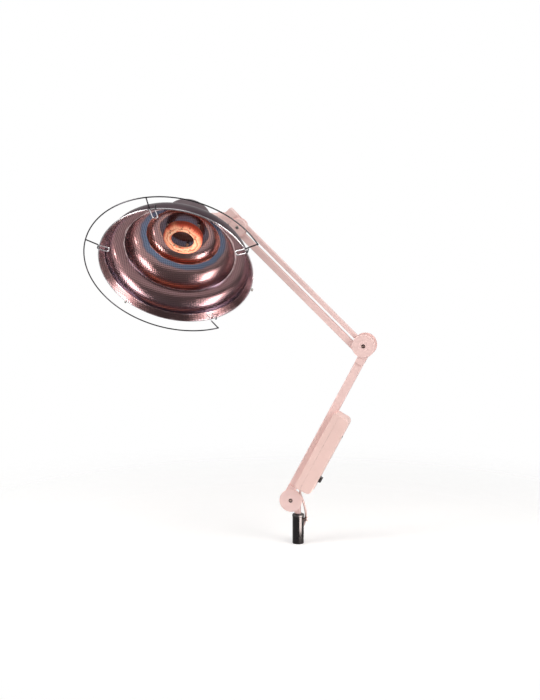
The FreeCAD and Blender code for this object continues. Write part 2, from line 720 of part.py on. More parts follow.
def boxBase():
    body = newBody("box_base", lowerFrame)
    sketch = newSketch(body, "YZ", "boxStart")
    outline(sketch, [
        ("boxBack", "-boxSeam"),
        ("boxBack", "channelLow"),
        (f"-{channelFace}", "channelLow"),
        (f"-{channelFace}", "boxLip"),
        ("boxEdge - boxFront", "boxLip"),
        ("-boxFront", "boxLip - boxEdge"),
        ("-boxFront", "-boxSeam"),
    ])
    pad(body, sketch, "boxLength")
    inside = newSketch(body, "YZ", "boxStart + boxWall")
    outline(inside, [
        ("boxBack - boxWall", "-boxSeam"),
        ("boxBack - boxWall", "channelLow - boxWall"),
        (f"-{channelFace} - boxWall", "channelLow - boxWall"),
        (f"-{channelFace} - boxWall", "boxLip - boxWall"),
        ("boxWall - boxFront", "boxLip - boxWall"),
        ("boxWall - boxFront", "-boxSeam"),
    ])
    pocket(body, inside, "boxLength - 2 * boxWall", reverse=True)
    post = newSketch(body, "XY", "boxWall - boxRight")
    circle(post, "postRadius", "coverScrewAlong", "-switchDepth")
    pad(body, post, "boxRight - boxWall + boxLip - boxWall / 2")
    thread = newSketch(body, "XY", "boxWall - boxRight")
    circle(thread, "coverScrewRadius + pressGap", "coverScrewAlong", "-switchDepth")
    pocket(body, thread, "boxRight - boxSeam", reverse=True)
    glandHole(body)


def boxCover():
    body = newBody("box_cover", lowerFrame)
    sketch = newSketch(body, "XZ", "boxFront")
    coverOutline(sketch, "0")
    pad(body, sketch, "boxFront + boxBack", reverse=True)
    inside = newSketch(body, "XZ", "boxFront - boxWall")
    coverOutline(inside, "boxWall")
    pocket(body, inside, "boxFront + boxBack - 2 * boxWall")
    openings = newSketch(body, "XY", "-boxRight")
    circle(openings, "coverScrewRadius + pressGap", "coverScrewAlong", "-switchDepth")
    rectangle(openings,
              "switchAlong - switchLength / 2 - faceGap", "-switchDepth - switchWidth / 2 - faceGap",
              "switchAlong + switchLength / 2 + faceGap", "switchWidth / 2 + faceGap - switchDepth")
    pocket(body, openings, "boxWall", reverse=True)
    glandHole(body)


def coverOutline(sketch, wall):
    """The cover's outline seen from the front, moved inwards by the wall."""
    left = f"(boxStart + {wall})"
    right = f"({boxEnd} - {wall})"
    low = f"(-boxRight + {wall})"
    corner = f"(boxCorner - {wall})"
    inset = f"({corner} * (1 - sqrt(0.5)))"
    outline(sketch, [
        (f"{right} - {corner}", low),
        (f"{right} - {inset}", f"{low} + {inset}", right, f"{low} + {corner}"),
        (right, "-boxSeam"),
        (left, "-boxSeam"),
        (left, f"{low} + {corner}"),
        (f"{left} + {inset}", f"{low} + {inset}", f"{left} + {corner}", low),
    ])


def coverScrew():
    body = newBody("cover_screw", lowerFrame + " * " + at("coverScrewAlong", "-switchDepth", "-boxRight"))
    sketch = newSketch(body, "XZ")
    outline(sketch, [
        ("0", "-coverScrewHead"),
        ("coverScrewRadius * 1.8", "-coverScrewHead"),
        ("coverScrewRadius * 1.8", "0"),
        ("coverScrewRadius", "0"),
        ("coverScrewRadius", "boxWall * 6"),
        ("0", "boxWall * 6"),
    ])
    revolve(body, sketch)


def switchParts():
    """The switch's body and bezel in the cover, and the button that slides in it."""
    frame = lowerFrame + " * " + at("switchAlong", "-switchDepth", "-boxRight")
    bodyWall = "(switchLength / 2 + bezelRim)"
    bodySide = "(switchWidth / 2 + bezelRim)"
    body = newBody("switch_bezel", frame)
    bezel = newSketch(body, "XY", "-bezelHeight")
    rectangle(bezel, f"-{bodyWall}", f"-{bodySide}", bodyWall, bodySide)
    rectangle(bezel, "-switchLength / 2 - faceGap", "-switchWidth / 2 - faceGap",
              "switchLength / 2 + faceGap", "switchWidth / 2 + faceGap")
    pad(body, bezel, "bezelHeight")
    base = newBody("switch_body", frame)
    housing = newSketch(base, "XY", "boxWall")
    rectangle(housing, f"-{bodyWall}", f"-{bodySide}", bodyWall, bodySide)
    pad(base, housing, "switchBodyDepth")
    well = newSketch(base, "XY", "boxWall")
    rectangle(well, "-switchLength / 2 - faceGap", "-switchWidth / 2 - faceGap",
              "switchLength / 2 + faceGap", "switchWidth / 2 + faceGap")
    pocket(base, well, "switchTravel + faceGap * 2 + boxWall", reverse=True)
    button = newBody("switch_button", frame)
    key = newSketch(button, "XY", "-switchProud")
    roundedRectangle(key, "-switchLength / 2", "-switchWidth / 2", "switchLength / 2", "switchWidth / 2",
                     "bezelRim")
    pad(button, key, "switchProud + boxWall * 2")


def boxContents():
    """The terminal block and the fuse holder, seated on the base shell behind the cover."""
    floor = "channelLow - boxWall"
    named("terminal_block", block(
        lowerFrame + " * " + at("boxStart + boxLength / 3", "boxBack - boxWall - blockWidth",
                                f"{floor} - blockHeight"),
        "blockLength", "blockWidth", "blockHeight"))
    named("fuse_holder", rod(
        lowerFrame + " * " + at("boxStart + boxLength * 0.6", "-fuseRadius", f"{floor} - fuseRadius",
                                "0; 1; 0", "90"),
        "fuseRadius", "fuseLength"))


def leadGland():
    body = newBody("lead_gland", lowerFrame + " * " + at("boxStart", *glandPlace))
    sketch = newSketch(body, "XZ")
    bore = "(leadRadius + pressGap)"
    outline(sketch, [
        ("-glandReach", bore),
        ("-glandReach", "glandNeck"),
        ("-glandReach / 2", "glandRadius"),
        ("0", "glandRadius"),
        ("0", "glandNeck"),
        ("boxWall", "glandNeck"),
        ("boxWall", "glandRadius"),
        ("boxWall * 2", "glandRadius"),
        ("boxWall * 2", bore),
    ])
    revolve(body, sketch, "H_Axis")


# ---------------------------------------------------------------- mains lead

# The lead goes from the gland down past the base knuckle and behind the column. Its points between
# its two fixed ends are chosen by hand, and the two pieces meet halfway along a straight run.
leadAbove = [(9.4, -6.6, 97.8), (13.0, -3.8, 86.5), (14.9, -0.6, 76.0)]
leadMeeting = (15.3, 2.2, 69.4)
leadBelow = [(15.7, 5.0, 62.8), (14.1, 9.6, 53.0), (11.7, 14.0, 43.6), (8.3, 18.9, 35.2), (4.6, 22.9, 28.0),
             (1.6, 22.6, 20.6)]


def leadPieces():
    exit = placed(lowerFrame + " * " + at("boxStart", *glandPlace))
    inner = exit.multVec(Vector(size("boxWall * 2"), 0, 0))
    outer = exit.multVec(Vector(-size("glandReach + leadRadius * 2.5"), 0, 0))
    shaped("lead_upper", tube([inner, outer] + leadAbove + [leadMeeting], size("leadRadius"), "lead_upper"))
    hole = size("grommetHeight")
    mouth = (0, size("columnRadius + grommetFlange + leadRadius * 1.7"), hole)
    end = (0, size("connectorEntry"), hole)
    shaped("lead_lower", tube([leadMeeting] + leadBelow + [mouth, end], size("leadRadius"), "lead_lower"))


# ---------------------------------------------------------------- bars of the upper arm

def bar(label, frame, thickness, eye, nearPin, farPin):
    body = newBody(label, frame)
    sketch = newSketch(body, "XZ")
    rectangle(sketch, "0", f"-{thickness} / 2", "barLength", f"{thickness} / 2")
    pad(body, sketch, "barDepth", symmetric=True)
    for place in ("0", "barLength"):
        end = newSketch(body, "XZ")
        circle(end, eye, place)
        pad(body, end, "barDepth", symmetric=True)
    bores = newSketch(body, "XZ")
    circle(bores, f"{nearPin} + runGap")
    circle(bores, f"{farPin} + runGap", "barLength")
    pocket(body, bores, "barDepth + 1", symmetric=True)


# ---------------------------------------------------------------- head link

def headLink():
    """The fork that holds both bars, with the knuckle block and the barrel for the tilt spindle."""
    cheekDepth = f"({cheekFace} * 2)"
    knuckle = block(linkFrame + " * " + at("knuckleStart", "-knuckleDepth / 2", "-knuckleRise"),
                    "knuckleLength", "knuckleDepth", "knuckleWidth")
    strap = block(linkFrame + " * " + at("0", f"-{cheekFace}", "-knuckleRise"),
                  "knuckleStart", cheekDepth, "knuckleWidth")
    cheek = rod(backwards(linkFrame, "0", f"-{cheekFace}", "linkDiscOffset"),
                "linkDiscRadius - discRound / 2", cheekDepth)
    barrel = rod(tiltFrame + " * " + at(axis="0; 1; 0", turn="-90"), "knuckleBarrel", "barrelReach")
    slot = block(linkFrame + " * " + at("-linkDiscRadius * 2", f"-{slotFace}", "-linkDiscRadius * 2"),
                 "linkDiscRadius * 2 + knuckleStart - faceGap", f"{slotFace} * 2", "linkDiscRadius * 5")
    upperBore = rod(backwards(linkFrame, "0", "-knuckleDepth", "0"), "barPinRadius + pressGap",
                    "knuckleDepth * 2")
    lowerBore = rod(backwards(linkFrame, "0", "-knuckleDepth", "barSpacing"), "barPinRadius + pressGap",
                    "knuckleDepth * 2")
    spindleBore = rod(tiltFrame + " * " + at("spindleBlind", "0", "0", "0; 1; 0", "-90"),
                      "spindleRadius + runGap", "spindleBlind + barrelReach + 1")
    clampBore = rod(backwards(tiltFrame, "0", "-knuckleDepth", "0"), "barPinRadius + pressGap",
                    "knuckleDepth")
    screwBores = [rod(backwards(linkFrame, "0", side, "linkDiscOffset"), "coverScrewRadius + pressGap",
                      "linkCheek + linkCover") for side in (f"-{coverFace}", f"{slotFace}")]
    named("link_fork", cut(fused(knuckle, strap, cheek, barrel), slot, upperBore, lowerBore,
                           spindleBore, clampBore, *screwBores))
    for side in ("front", "rear"):
        coverDisc(f"link_{side}_disc", linkFrame, "linkDiscRadius", cheekFace, coverFace,
                  "coverScrewRadius + pressGap", z="linkDiscOffset", front=side == "front")
    screws = []
    for front in (True, False):
        head = f"-{coverFace} - coverScrewHead" if front else coverFace
        shank = f"-{coverFace}" if front else f"{coverFace} - linkScrewLength"
        screws.append(fused(
            rod(backwards(linkFrame, "0", head, "linkDiscOffset"), "linkScrewRadius", "coverScrewHead"),
            rod(backwards(linkFrame, "0", shank, "linkDiscOffset"), "coverScrewRadius", "linkScrewLength")))
    group("link_screws", screws)
    group("link_pins", [rod(backwards(linkFrame, "0", f"-{cheekFace}", z), "barPinRadius", cheekDepth)
                        for z in ("0", "barSpacing")])
    named("tilt_clamp_screw", rod(
        backwards(tiltFrame, "0", "-knuckleDepth / 2 - coverScrewHead", "0"), "barPinRadius",
        "knuckleDepth / 2 + coverScrewHead - spindleRadius - faceGap"))


# ---------------------------------------------------------------- head

def bulge(radiusA, depthA, radiusB, depthB, rise, extra="0"):
    """The middle of an arc that bulges away from the chord between two ridges."""
    length = f"sqrt(({radiusA} - {radiusB}) ^ 2 + ({depthA} - {depthB}) ^ 2)"
    return (f"({radiusA} + {radiusB}) / 2 + ({rise} + {extra}) * ({depthB} - {depthA}) / {length}",
            f"({depthA} + {depthB}) / 2 + ({rise} + {extra}) * ({radiusA} - {radiusB}) / {length}")


def reflector():
    """The reflector: one spun sheet, stepped in ridges from its rim to its flat back."""
    inner = {name: (f"ridgeRadius{name}", f"ridgeDepth{name}") for name in "ABCD"}
    step = "sheetThickness * 0.75"
    outer = {name: (f"{radius} + {step}", f"{depth} + {step}") for name, (radius, depth) in inner.items()}
    back = ("plateRadiusBack", "reflectorDepth")
    outerBack = (f"plateRadiusBack + {step}", sheetBack)
    body = newBody("reflector", headFrame)
    sketch = newSketch(body, "XZ")
    outline(sketch, [
        ("rimRadius - sheetThickness", "0"),
        inner["A"],
        bulge(*inner["A"], *inner["B"], "bulgeA") + inner["B"],
        bulge(*inner["B"], *inner["C"], "bulgeB") + inner["C"],
        inner["D"],
        bulge(*inner["D"], *back, "bulgeD") + back,
        ("0", "reflectorDepth"),
        ("0", sheetBack),
        outerBack,
        bulge(*inner["D"], *back, "bulgeD", "sheetThickness") + outer["D"],
        outer["C"],
        bulge(*inner["B"], *inner["C"], "bulgeB", "sheetThickness") + outer["B"],
        bulge(*inner["A"], *inner["B"], "bulgeA", "sheetThickness") + outer["A"],
        ("rimRadius - sheetThickness / 2", "rimLip"),
        ("rimRadius", "rimLip"),
        ("rimRadius", "0"),
    ])
    revolve(body, sketch)


def rearCap():
    body = newBody("rear_cap", headFrame)
    sketch = newSketch(body, "XZ")
    outerSoft = "(rearCapRound * (1 - sqrt(0.5)))"
    innerRound = "(rearCapRound - rearCapWall)"
    innerSoft = f"({innerRound} * (1 - sqrt(0.5)))"
    inside = "(rearCapRadius - rearCapWall)"
    ceiling = "(rearCapTop - rearCapWall)"
    outline(sketch, [
        ("rearCapRadius", sheetBack),
        ("rearCapRadius", "rearCapTop - rearCapRound"),
        (f"rearCapRadius - {outerSoft}", f"rearCapTop - {outerSoft}",
         "rearCapRadius - rearCapRound", "rearCapTop"),
        ("0", "rearCapTop"),
        ("0", ceiling),
        (f"{inside} - {innerRound}", ceiling),
        (f"{inside} - {innerSoft}", f"{ceiling} - {innerSoft}", inside, f"{ceiling} - {innerRound}"),
        (inside, sheetBack),
    ])
    revolve(body, sketch)
    hole = newSketch(body, "YZ")
    circle(hole, "spindleRadius + pressGap", "0", "tiltDepth")
    pocket(body, hole, "rearCapRadius + 1", reverse=True)


def headYoke():
    body = newBody("head_yoke", headFrame)
    sketch = newSketch(body, "XZ")
    inner = "(yokeHalfWidth - yokeSheet)"
    top = "(tiltDepth + yokeRise)"
    outline(sketch, [
        ("-yokeHalfWidth", sheetBack),
        ("yokeHalfWidth", sheetBack),
        ("yokeHalfWidth", top),
        (inner, top),
        (inner, f"{sheetBack} + yokeSheet"),
        (f"-{inner}", f"{sheetBack} + yokeSheet"),
        (f"-{inner}", top),
        ("-yokeHalfWidth", top),
    ])
    pad(body, sketch, "yokeDepth", symmetric=True)
    hole = newSketch(body, "YZ")
    circle(hole, "spindleRadius + pressGap", "0", "tiltDepth")
    pocket(body, hole, "yokeHalfWidth * 2 + 1", symmetric=True)


def tiltSpindle():
    """The spindle through yoke and cap, its collar and its clip, all along the tilt axis."""
    def along(start):
        return headFrame + " * " + at(start, "0", "tiltDepth", "0; 1; 0", "90")

    named("tilt_spindle", rod(along("-yokeHalfWidth - clipThickness * 1.5"), "spindleRadius",
                              "yokeHalfWidth + clipThickness * 1.5 + headAside + spindleBlind - faceGap"))
    named("spindle_collar", rod(along("rearCapRadius"), "spindleCollar",
                                "headAside - barrelReach - faceGap - rearCapRadius",
                                "spindleRadius + pressGap"))
    named("spindle_clip", rod(along("-yokeHalfWidth - clipThickness"), "clipOutside", "clipThickness",
                              "spindleRadius + pressGap"))


def heater():
    """The heater, hollowed towards its back, its posts, the screw behind it and the terminals."""
    body = newBody("heater_ring", headFrame)
    sketch = newSketch(body, "XZ")
    lipInset = "(heaterLip / 2 * (1 - sqrt(0.5)))"
    edgeInset = "(heaterRound * (1 - sqrt(0.5)))"
    outline(sketch, [
        ("heaterBore", f"{heaterFront} + heaterLip"),
        ("heaterBore", f"{heaterFront} + heaterLip / 2"),
        (f"heaterBore + {lipInset}", f"{heaterFront} + {lipInset}",
         "heaterBore + heaterLip / 2", heaterFront),
        ("heaterRadius - heaterRound", heaterFront),
        (f"heaterRadius - {edgeInset}", f"{heaterFront} + {edgeInset}",
         "heaterRadius", f"{heaterFront} + heaterRound"),
        ("heaterRadius", heaterBack),
        ("heaterBackBore", heaterBack),
    ])
    revolve(body, sketch)
    middle = "((heaterBackBore + heaterRadius) / 2)"
    step = "360 / postCount"
    posts = []
    for number in range(round(size("postCount"))):
        angle = f"({step} * {number} + 90)"
        posts.append(rod(headFrame + " * " + at(f"{middle} * cos({angle})", f"{middle} * sin({angle})",
                                                heaterBack), "heaterPost", "heaterStandoff"))
    group("heater_posts", posts)
    named("back_screw", rod(headFrame + " * " + at(z="reflectorDepth - backScrewHeight"),
                            "backScrewRadius", "backScrewHeight"))
    named("head_terminals", block(
        headFrame + " * " + at("-headBlockLength / 2", "yokeDepth / 2 + faceGap", sheetBack),
        "headBlockLength", "headBlockWidth", "headBlockHeight"))


def hookTube():
    """One hook, in the plane of the first: from the guard over the rim, a loop, and back round the rim."""
    front = -size("guardWire + hookClear")
    ring = size("guardRadius - guardWire - faceGap * 1.5")
    tip = size("hookReach")
    half = size("hookWidth / 2")
    outer = size("rimRadius + pressGap + rimWireRadius * 2 + guardWire + hookClear")
    radius = size("guardWire")
    bend = size("hookBend")
    corners = [
        Vector(ring, -half, size("guardDepth")),
        Vector(outer, -half, front),
        Vector(tip, -half, front),
        Vector(tip, half, front),
        Vector(outer, half, front),
        Vector(outer, half, size("hookEnd")),
    ]
    return wire(corners, bend, radius)


def wire(corners, bend, radius):
    """A wire along straight runs with bends of one radius."""
    edges = []
    start = corners[0]
    for before, corner, after in zip(corners, corners[1:], corners[2:]):
        inward = (before - corner).normalize()
        outward = (after - corner).normalize()
        half = (math.pi - inward.getAngle(outward)) / 2
        setback = bend * math.tan(half)
        entry = corner + inward * setback
        leave = corner + outward * setback
        middle = corner + (inward + outward).normalize() * (bend / math.cos(half) - bend)
        edges.append(Part.LineSegment(start, entry).toShape())
        edges.append(Part.Arc(entry, middle, leave).toShape())
        start = leave
    edges.append(Part.LineSegment(start, corners[-1]).toShape())
    section = Part.Wire(Part.Circle(corners[0], corners[1] - corners[0], radius).toShape())
    return Part.Wire(edges).makePipeShell([section], True, False)


def turned(shape, angle):
    copy = shape.copy()
    copy.rotate(Vector(0, 0, 0), Vector(0, 0, 1), angle)
    return copy


def torus(label, radius, section, depth, start="0", sweep="360"):
    piece = document.addObject("Part::Torus", label)
    piece.setExpression("Radius1", bound(radius))
    piece.setExpression("Radius2", bound(section))
    piece.setExpression("Angle3", bound(sweep))
    piece.setExpression("Placement", bound(headFrame + " * " + at(z=depth, turn=start)))
    return named(label, piece)


def guard():
    """The guard: an open ring from the second hook round to the first, its hooks and the thin rim wire."""
    past = "asin((hookWidth / 2 - guardWire) / guardRadius) / 1deg"
    torus("guard_ring", "guardRadius", "guardWire", "guardDepth",
          f"secondHookAngle + {past}", f"firstHookAngle - secondHookAngle - 2 * {past}")
    rimWire = "(rimRadius + pressGap + rimWireRadius)"
    clipCentre = f"({rimWire} + rimWireRadius + clipRadius + pressGap)"
    torus("rim_wire", rimWire, "rimWireRadius", "rimWireDepth")
    hook = hookTube()
    mirrored = hook.mirror(Vector(0, 0, 0), Vector(0, 1, 0))
    hooks = [turned(hook, size(name)) for name in ("firstHookAngle", "fourthHookAngle")]
    hooks += [turned(mirrored, size(name)) for name in ("secondHookAngle", "thirdHookAngle")]
    shaped("guard_hooks", Part.makeCompound(hooks), headFrame)
    group("rim_clips", [
        rod(headFrame + " * " + at(f"{clipCentre} * cos({angle})",
                                   f"{clipCentre} * sin({angle})",
                                   "rimWireDepth - clipLength / 2"), "clipRadius", "clipLength")
        for angle in ("firstClipAngle", "secondClipAngle")])


# ---------------------------------------------------------------- build, check and write

columnTube()
columnCap()
supplyConnector()
leadGrommet()
wingScrew()
pivotBracket()
armChannel()
baseKnuckle()
elbowKnuckle()
boxBase()
boxCover()
coverScrew()
switchParts()
boxContents()
leadGland()
leadPieces()
bar("upper_bar", barFrame, "upperBarThickness", "upperEyeRadius", "pivotRadius", "barPinRadius")
bar("lower_bar", lowerBarFrame, "lowerBarThickness", "lowerBarThickness / 2", "barPinRadius", "barPinRadius")
headLink()
reflector()
rearCap()
headYoke()
tiltSpindle()
heater()
guard()
document.recompute()

for made in document.Objects:
    if "Invalid" in made.State or "Error" in made.State:
        raise RuntimeError(f"{made.Label} failed: {made.State}")
    if made.TypeId == "PartDesign::Pocket" and made.Shape.Volume >= made.BaseFeature.Shape.Volume - 0.01:
        raise RuntimeError(f"{made.Label} cuts nothing")
for label, piece in nodes.items():
    if piece.Shape.isNull() or not piece.Shape.isValid():
        raise RuntimeError(f"{label} has no valid shape")

os.makedirs("parts", exist_ok=True)
for label, piece in nodes.items():
    piece.Shape.exportStep(f"parts/{label}.step")
print(f"{len(nodes)} nodes written")
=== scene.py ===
import math

import bmesh
import bpy
from mathutils import Matrix, Vector


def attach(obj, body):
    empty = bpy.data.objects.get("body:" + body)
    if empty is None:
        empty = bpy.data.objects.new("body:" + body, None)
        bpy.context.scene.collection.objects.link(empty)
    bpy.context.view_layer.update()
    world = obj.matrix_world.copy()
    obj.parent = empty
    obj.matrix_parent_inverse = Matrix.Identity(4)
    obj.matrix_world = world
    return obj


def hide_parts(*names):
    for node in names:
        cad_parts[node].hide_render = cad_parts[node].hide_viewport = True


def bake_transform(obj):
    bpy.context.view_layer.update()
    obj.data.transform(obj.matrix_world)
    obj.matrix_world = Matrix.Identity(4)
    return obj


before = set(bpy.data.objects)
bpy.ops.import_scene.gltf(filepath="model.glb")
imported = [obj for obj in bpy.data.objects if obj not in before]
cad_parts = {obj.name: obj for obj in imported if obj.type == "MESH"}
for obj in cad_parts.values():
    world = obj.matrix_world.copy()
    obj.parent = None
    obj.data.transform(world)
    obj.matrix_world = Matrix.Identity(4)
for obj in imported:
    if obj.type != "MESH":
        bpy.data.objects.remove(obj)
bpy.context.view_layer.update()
bpy.ops.object.select_all(action="DESELECT")
print("lamp frame loaded")

# how the arms and the head stand; metres and degrees
stance = {
    "basePivot": (-0.013, 0, 0.0945),
    "lowerArm": 62.4,
    "elbow": (0.362, 0, 0.0193),
    "upperArm": 136,
    "barLength": 0.356,
    "barSpacing": 0.0175,
    "knuckle": (0.029, 0, 0.0115),
    "headAside": 0.0847,
    "headTilt": 38.5,
    "tiltDepth": 0.150,
}


def turned(degrees, axis):
    return Matrix.Rotation(math.radians(degrees), 4, axis)


def shift(x=0, y=0, z=0):
    return Matrix.Translation((x, y, z))


ground = Matrix.Identity(4)
toFront, toRear = turned(90, "X"), turned(-90, "X")  # a spun piece's axis along Y
armPlace = shift(*stance["basePivot"]) @ turned(-stance["lowerArm"], "Y")
elbowPlace = armPlace @ shift(*stance["elbow"])
barPlace = elbowPlace @ turned(stance["lowerArm"] - stance["upperArm"], "Y")
linkPlace = barPlace @ shift(stance["barLength"])
tiltPlace = linkPlace @ shift(*stance["knuckle"]) @ turned(stance["upperArm"], "Y")
headPlace = tiltPlace @ shift(-stance["headAside"]) @ turned(stance["headTilt"] - 90, "X")
headPlace = headPlace @ shift(z=-stance["tiltDepth"])

# camera
shot = {
    "turn": 11,  # degrees round the lamp, towards +X
    "lift": 8.5,  # degrees above the horizon
    "distance": 4.0,
    "pixel": 0.0021,  # metres to a pixel at the column
    "frame": (540, 700),
    "columnPixel": (298.15, 530),  # where columnPoint is in the frame
    "columnPoint": (0, 0, 0.028),  # on the column's axis
    "sensor": 36,
    "farthest": 30,
}


def direction(turn, lift):
    # towards a place that is turned from the front and lifted above the horizon, in degrees
    turn, lift = math.radians(turn), math.radians(lift)
    return Vector((math.sin(turn) * math.cos(lift), -math.cos(turn) * math.cos(lift), math.sin(lift)))


def stood(name, data, place, towards):
    # a camera or a lamp that looks back from its place
    thing = bpy.data.objects.new(name, data)
    thing.location = place
    thing.rotation_euler = towards.to_track_quat("Z", "Y").to_euler()
    bpy.context.scene.collection.objects.link(thing)
    return thing


def placeCamera():
    turn = math.radians(shot["turn"])
    across = Vector((math.cos(turn), math.sin(turn), 0))
    towards = direction(shot["turn"], shot["lift"])
    upright = towards.cross(across)
    wide, tall = shot["frame"]
    right, down = shot["columnPixel"]
    middle = Vector(shot["columnPoint"]) + across * (wide / 2 - right) * shot["pixel"]
    middle += upright * (down - tall / 2) * shot["pixel"]
    data = bpy.data.cameras.new("shotCamera")
    data.sensor_width = shot["sensor"]
    data.lens = shot["sensor"] * shot["distance"] / (tall * shot["pixel"])
    data.clip_end = shot["farthest"]
    bpy.context.scene.camera = stood("shotCamera", data, middle + towards * shot["distance"], towards)


placeCamera()
print("camera placed")


# small tools for modelling

def leaveEdit():
    if bpy.context.mode != "OBJECT":
        bpy.ops.object.mode_set(mode="OBJECT")


def begin():
    leaveEdit()
    bpy.ops.object.select_all(action="DESELECT")


def only(piece):
    begin()
    piece.select_set(True)
    bpy.context.view_layer.objects.active = piece


def everything(action="SELECT"):
    bpy.ops.mesh.select_all(action=action)


def edit(piece):
    only(piece)
    bpy.ops.object.mode_set(mode="EDIT")
    everything()


def applyPlace():
    bpy.ops.object.transform_apply(location=True, rotation=True, scale=True)


def called(name):
    # names the object just added and applies its place
    piece = bpy.context.object
    piece.name = name
    applyPlace()
    return piece


def take(sizes, keys):
    return [sizes[key] for key in keys.split()]


def camel(node):
    first, *others = node.split("_")
    return first + "".join(word.title() for word in others)


def near(first, second):
    return abs(first - second) < 0.00001


def pick(piece, kind, test):
    edit(piece)
    bpy.ops.mesh.select_mode(type=kind)
    everything("DESELECT")
    mesh = bmesh.from_edit_mesh(piece.data)
    for part in mesh.edges if kind == "EDGE" else mesh.faces:
        part.select = bool(test(part))
    mesh.select_flush_mode()
    bmesh.update_edit_mesh(piece.data)


def merged():
    everything()
    bpy.ops.mesh.remove_doubles(threshold=0.000005)
    everything()


def cleaned(piece):
    edit(piece)
    merged()
    bpy.ops.mesh.delete_loose()
    everything()
    bpy.ops.mesh.normals_make_consistent(inside=False)
    leaveEdit()
    return piece


def applied(piece, kind, **settings):
    only(piece)
    modifier = piece.modifiers.new(kind.lower(), kind)
    for key, value in settings.items():
        setattr(modifier, key, value)
    bpy.ops.object.modifier_apply(modifier=modifier.name)
    return piece


def softened(piece, width, segments=3, angle=35):
    return applied(piece, "BEVEL", width=width, segments=segments, limit_method="ANGLE",
                   angle_limit=math.radians(angle))


def shaded(piece, angle):
    only(piece)
    bpy.ops.object.shade_smooth_by_angle(angle=math.radians(angle))


def settled(piece, place, body, finish, node, angle=40):
    # smooths a piece, puts it in place on its body and lets it stand for its node
    if angle:
        shaded(piece, angle)
        applied(piece, "WEIGHTED_NORMAL", keep_sharp=True)
    only(piece)
    piece.matrix_world = place
    applyPlace()
    if not piece.data.materials:
        piece.data.materials.append(finish)
    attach(piece, body)
    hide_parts(node)
    return piece


def twoFinishes(piece, first, second, test):
    # the faces that pass the test take the second finish
    piece.data.materials.append(first)
    piece.data.materials.append(second)
    for face in piece.data.polygons:
        face.material_index = int(bool(test(face)))


def drawLine(name, points):
    # one vertex, extruded from point to point
    begin()
    bpy.ops.mesh.primitive_plane_add(size=0.001, location=points[0])
    piece = called(name)
    edit(piece)
    bpy.ops.mesh.select_mode(type="VERT")
    everything()
    bpy.ops.mesh.merge(type="CENTER")
    for before, after in zip(points, points[1:]):
        step = Vector(after) - Vector(before)
        bpy.ops.mesh.extrude_vertices_move(TRANSFORM_OT_translate={"value": step})
    return piece


def closedLine(name, points):
    piece = drawLine(name, points + points[:1])
    merged()
    return piece


def spun(name, section, steps=96):
    # section holds (radius, height) pairs; it is spun round Z
    piece = closedLine(name, [(radius, 0, height) for radius, height in section])
    bpy.ops.mesh.spin(steps=steps, angle=math.tau, center=(0, 0, 0), axis=(0, 0, 1))
    return cleaned(piece)


def lathed(node, section, steps, place, body, finish, angle=40, name=None):
    # a spun piece that needs nothing more
    return settled(spun(name or camel(node), section, steps), place, body, finish, node, angle)


def prism(name, points, reach):
    # a closed outline, filled and extruded
    piece = closedLine(name, points)
    bpy.ops.mesh.edge_face_add()
    everything()
    bpy.ops.mesh.extrude_region_move(TRANSFORM_OT_translate={"value": reach})
    return cleaned(piece)


def slab(name, shape, front, back):
    # shape holds (x, z) pairs; it reaches from front to back along Y
    return prism(name, [(x, front, z) for x, z in shape], (0, back - front, 0))


def beam(name, shape, start, end):
    # shape holds (y, z) pairs; it reaches from start to end along X
    return prism(name, [(start, y, z) for y, z in shape], (end - start, 0, 0))


def arc(start, middle, end, count):
    # points on the arc from start through middle to end, without its start
    (ax, ay), (bx, by), (cx, cy) = start, middle, end
    twice = 2 * (ax * (by - cy) + bx * (cy - ay) + cx * (ay - by))
    aa, bb, cc = ax * ax + ay * ay, bx * bx + by * by, cx * cx + cy * cy
    x = (aa * (by - cy) + bb * (cy - ay) + cc * (ay - by)) / twice
    y = (aa * (cx - bx) + bb * (ax - cx) + cc * (bx - ax)) / twice
    radius = math.hypot(ax - x, ay - y)
    first = math.atan2(ay - y, ax - x)
    through = first + math.remainder(math.atan2(by - y, bx - x) - first, math.tau)
    last = through + math.remainder(math.atan2(cy - y, cx - x) - through, math.tau)
    angles = [first + (last - first) * number / count for number in range(1, count + 1)]
    return [(x + radius * math.cos(angle), y + radius * math.sin(angle)) for angle in angles]


def rounded(points, radii, count=5):
    # a closed outline with its corners rounded, by one radius or by one for each corner
    result = []
    for number, point in enumerate(points):
        radius = radii[number] if isinstance(radii, (list, tuple)) else radii
        corner = Vector(point)
        if not radius:
            result.append(tuple(corner))
            continue
        before = (Vector(points[number - 1]) - corner).normalized()
        after = (Vector(points[(number + 1) % len(points)]) - corner).normalized()
        half = before.angle(after) / 2
        start = corner + before * radius / math.tan(half)
        end = corner + after * radius / math.tan(half)
        middle = corner + (before + after).normalized() * (radius / math.sin(half) - radius)
        result.append(tuple(start))
        result += arc(tuple(start), tuple(middle), tuple(end), count)
    return result


def cylinder(radius, depth, place, vertices=72, turn=(0, 0, 0)):
    begin()
    bpy.ops.mesh.primitive_cylinder_add(vertices=vertices, radius=radius, depth=depth, location=place,
                                        rotation=turn)
    return bpy.context.object


def block(size, place=(0, 0, 0), turn=0):
    begin()
    bpy.ops.mesh.primitive_cube_add(size=1, location=place, rotation=(0, 0, turn), scale=size)
    return bpy.context.object


def combined(piece, tool, operation):
    applied(piece, "BOOLEAN", operation=operation, solver="EXACT", object=tool)
    bpy.data.objects.remove(tool, do_unlink=True)
    return piece


def carved(piece, tool):
    return combined(piece, tool, "DIFFERENCE")


def drilled(piece, middle, along, radius, depth):
    turn = Vector(along).to_track_quat("Z", "Y").to_euler()
    return carved(piece, cylinder(radius, depth, middle, 48, turn))


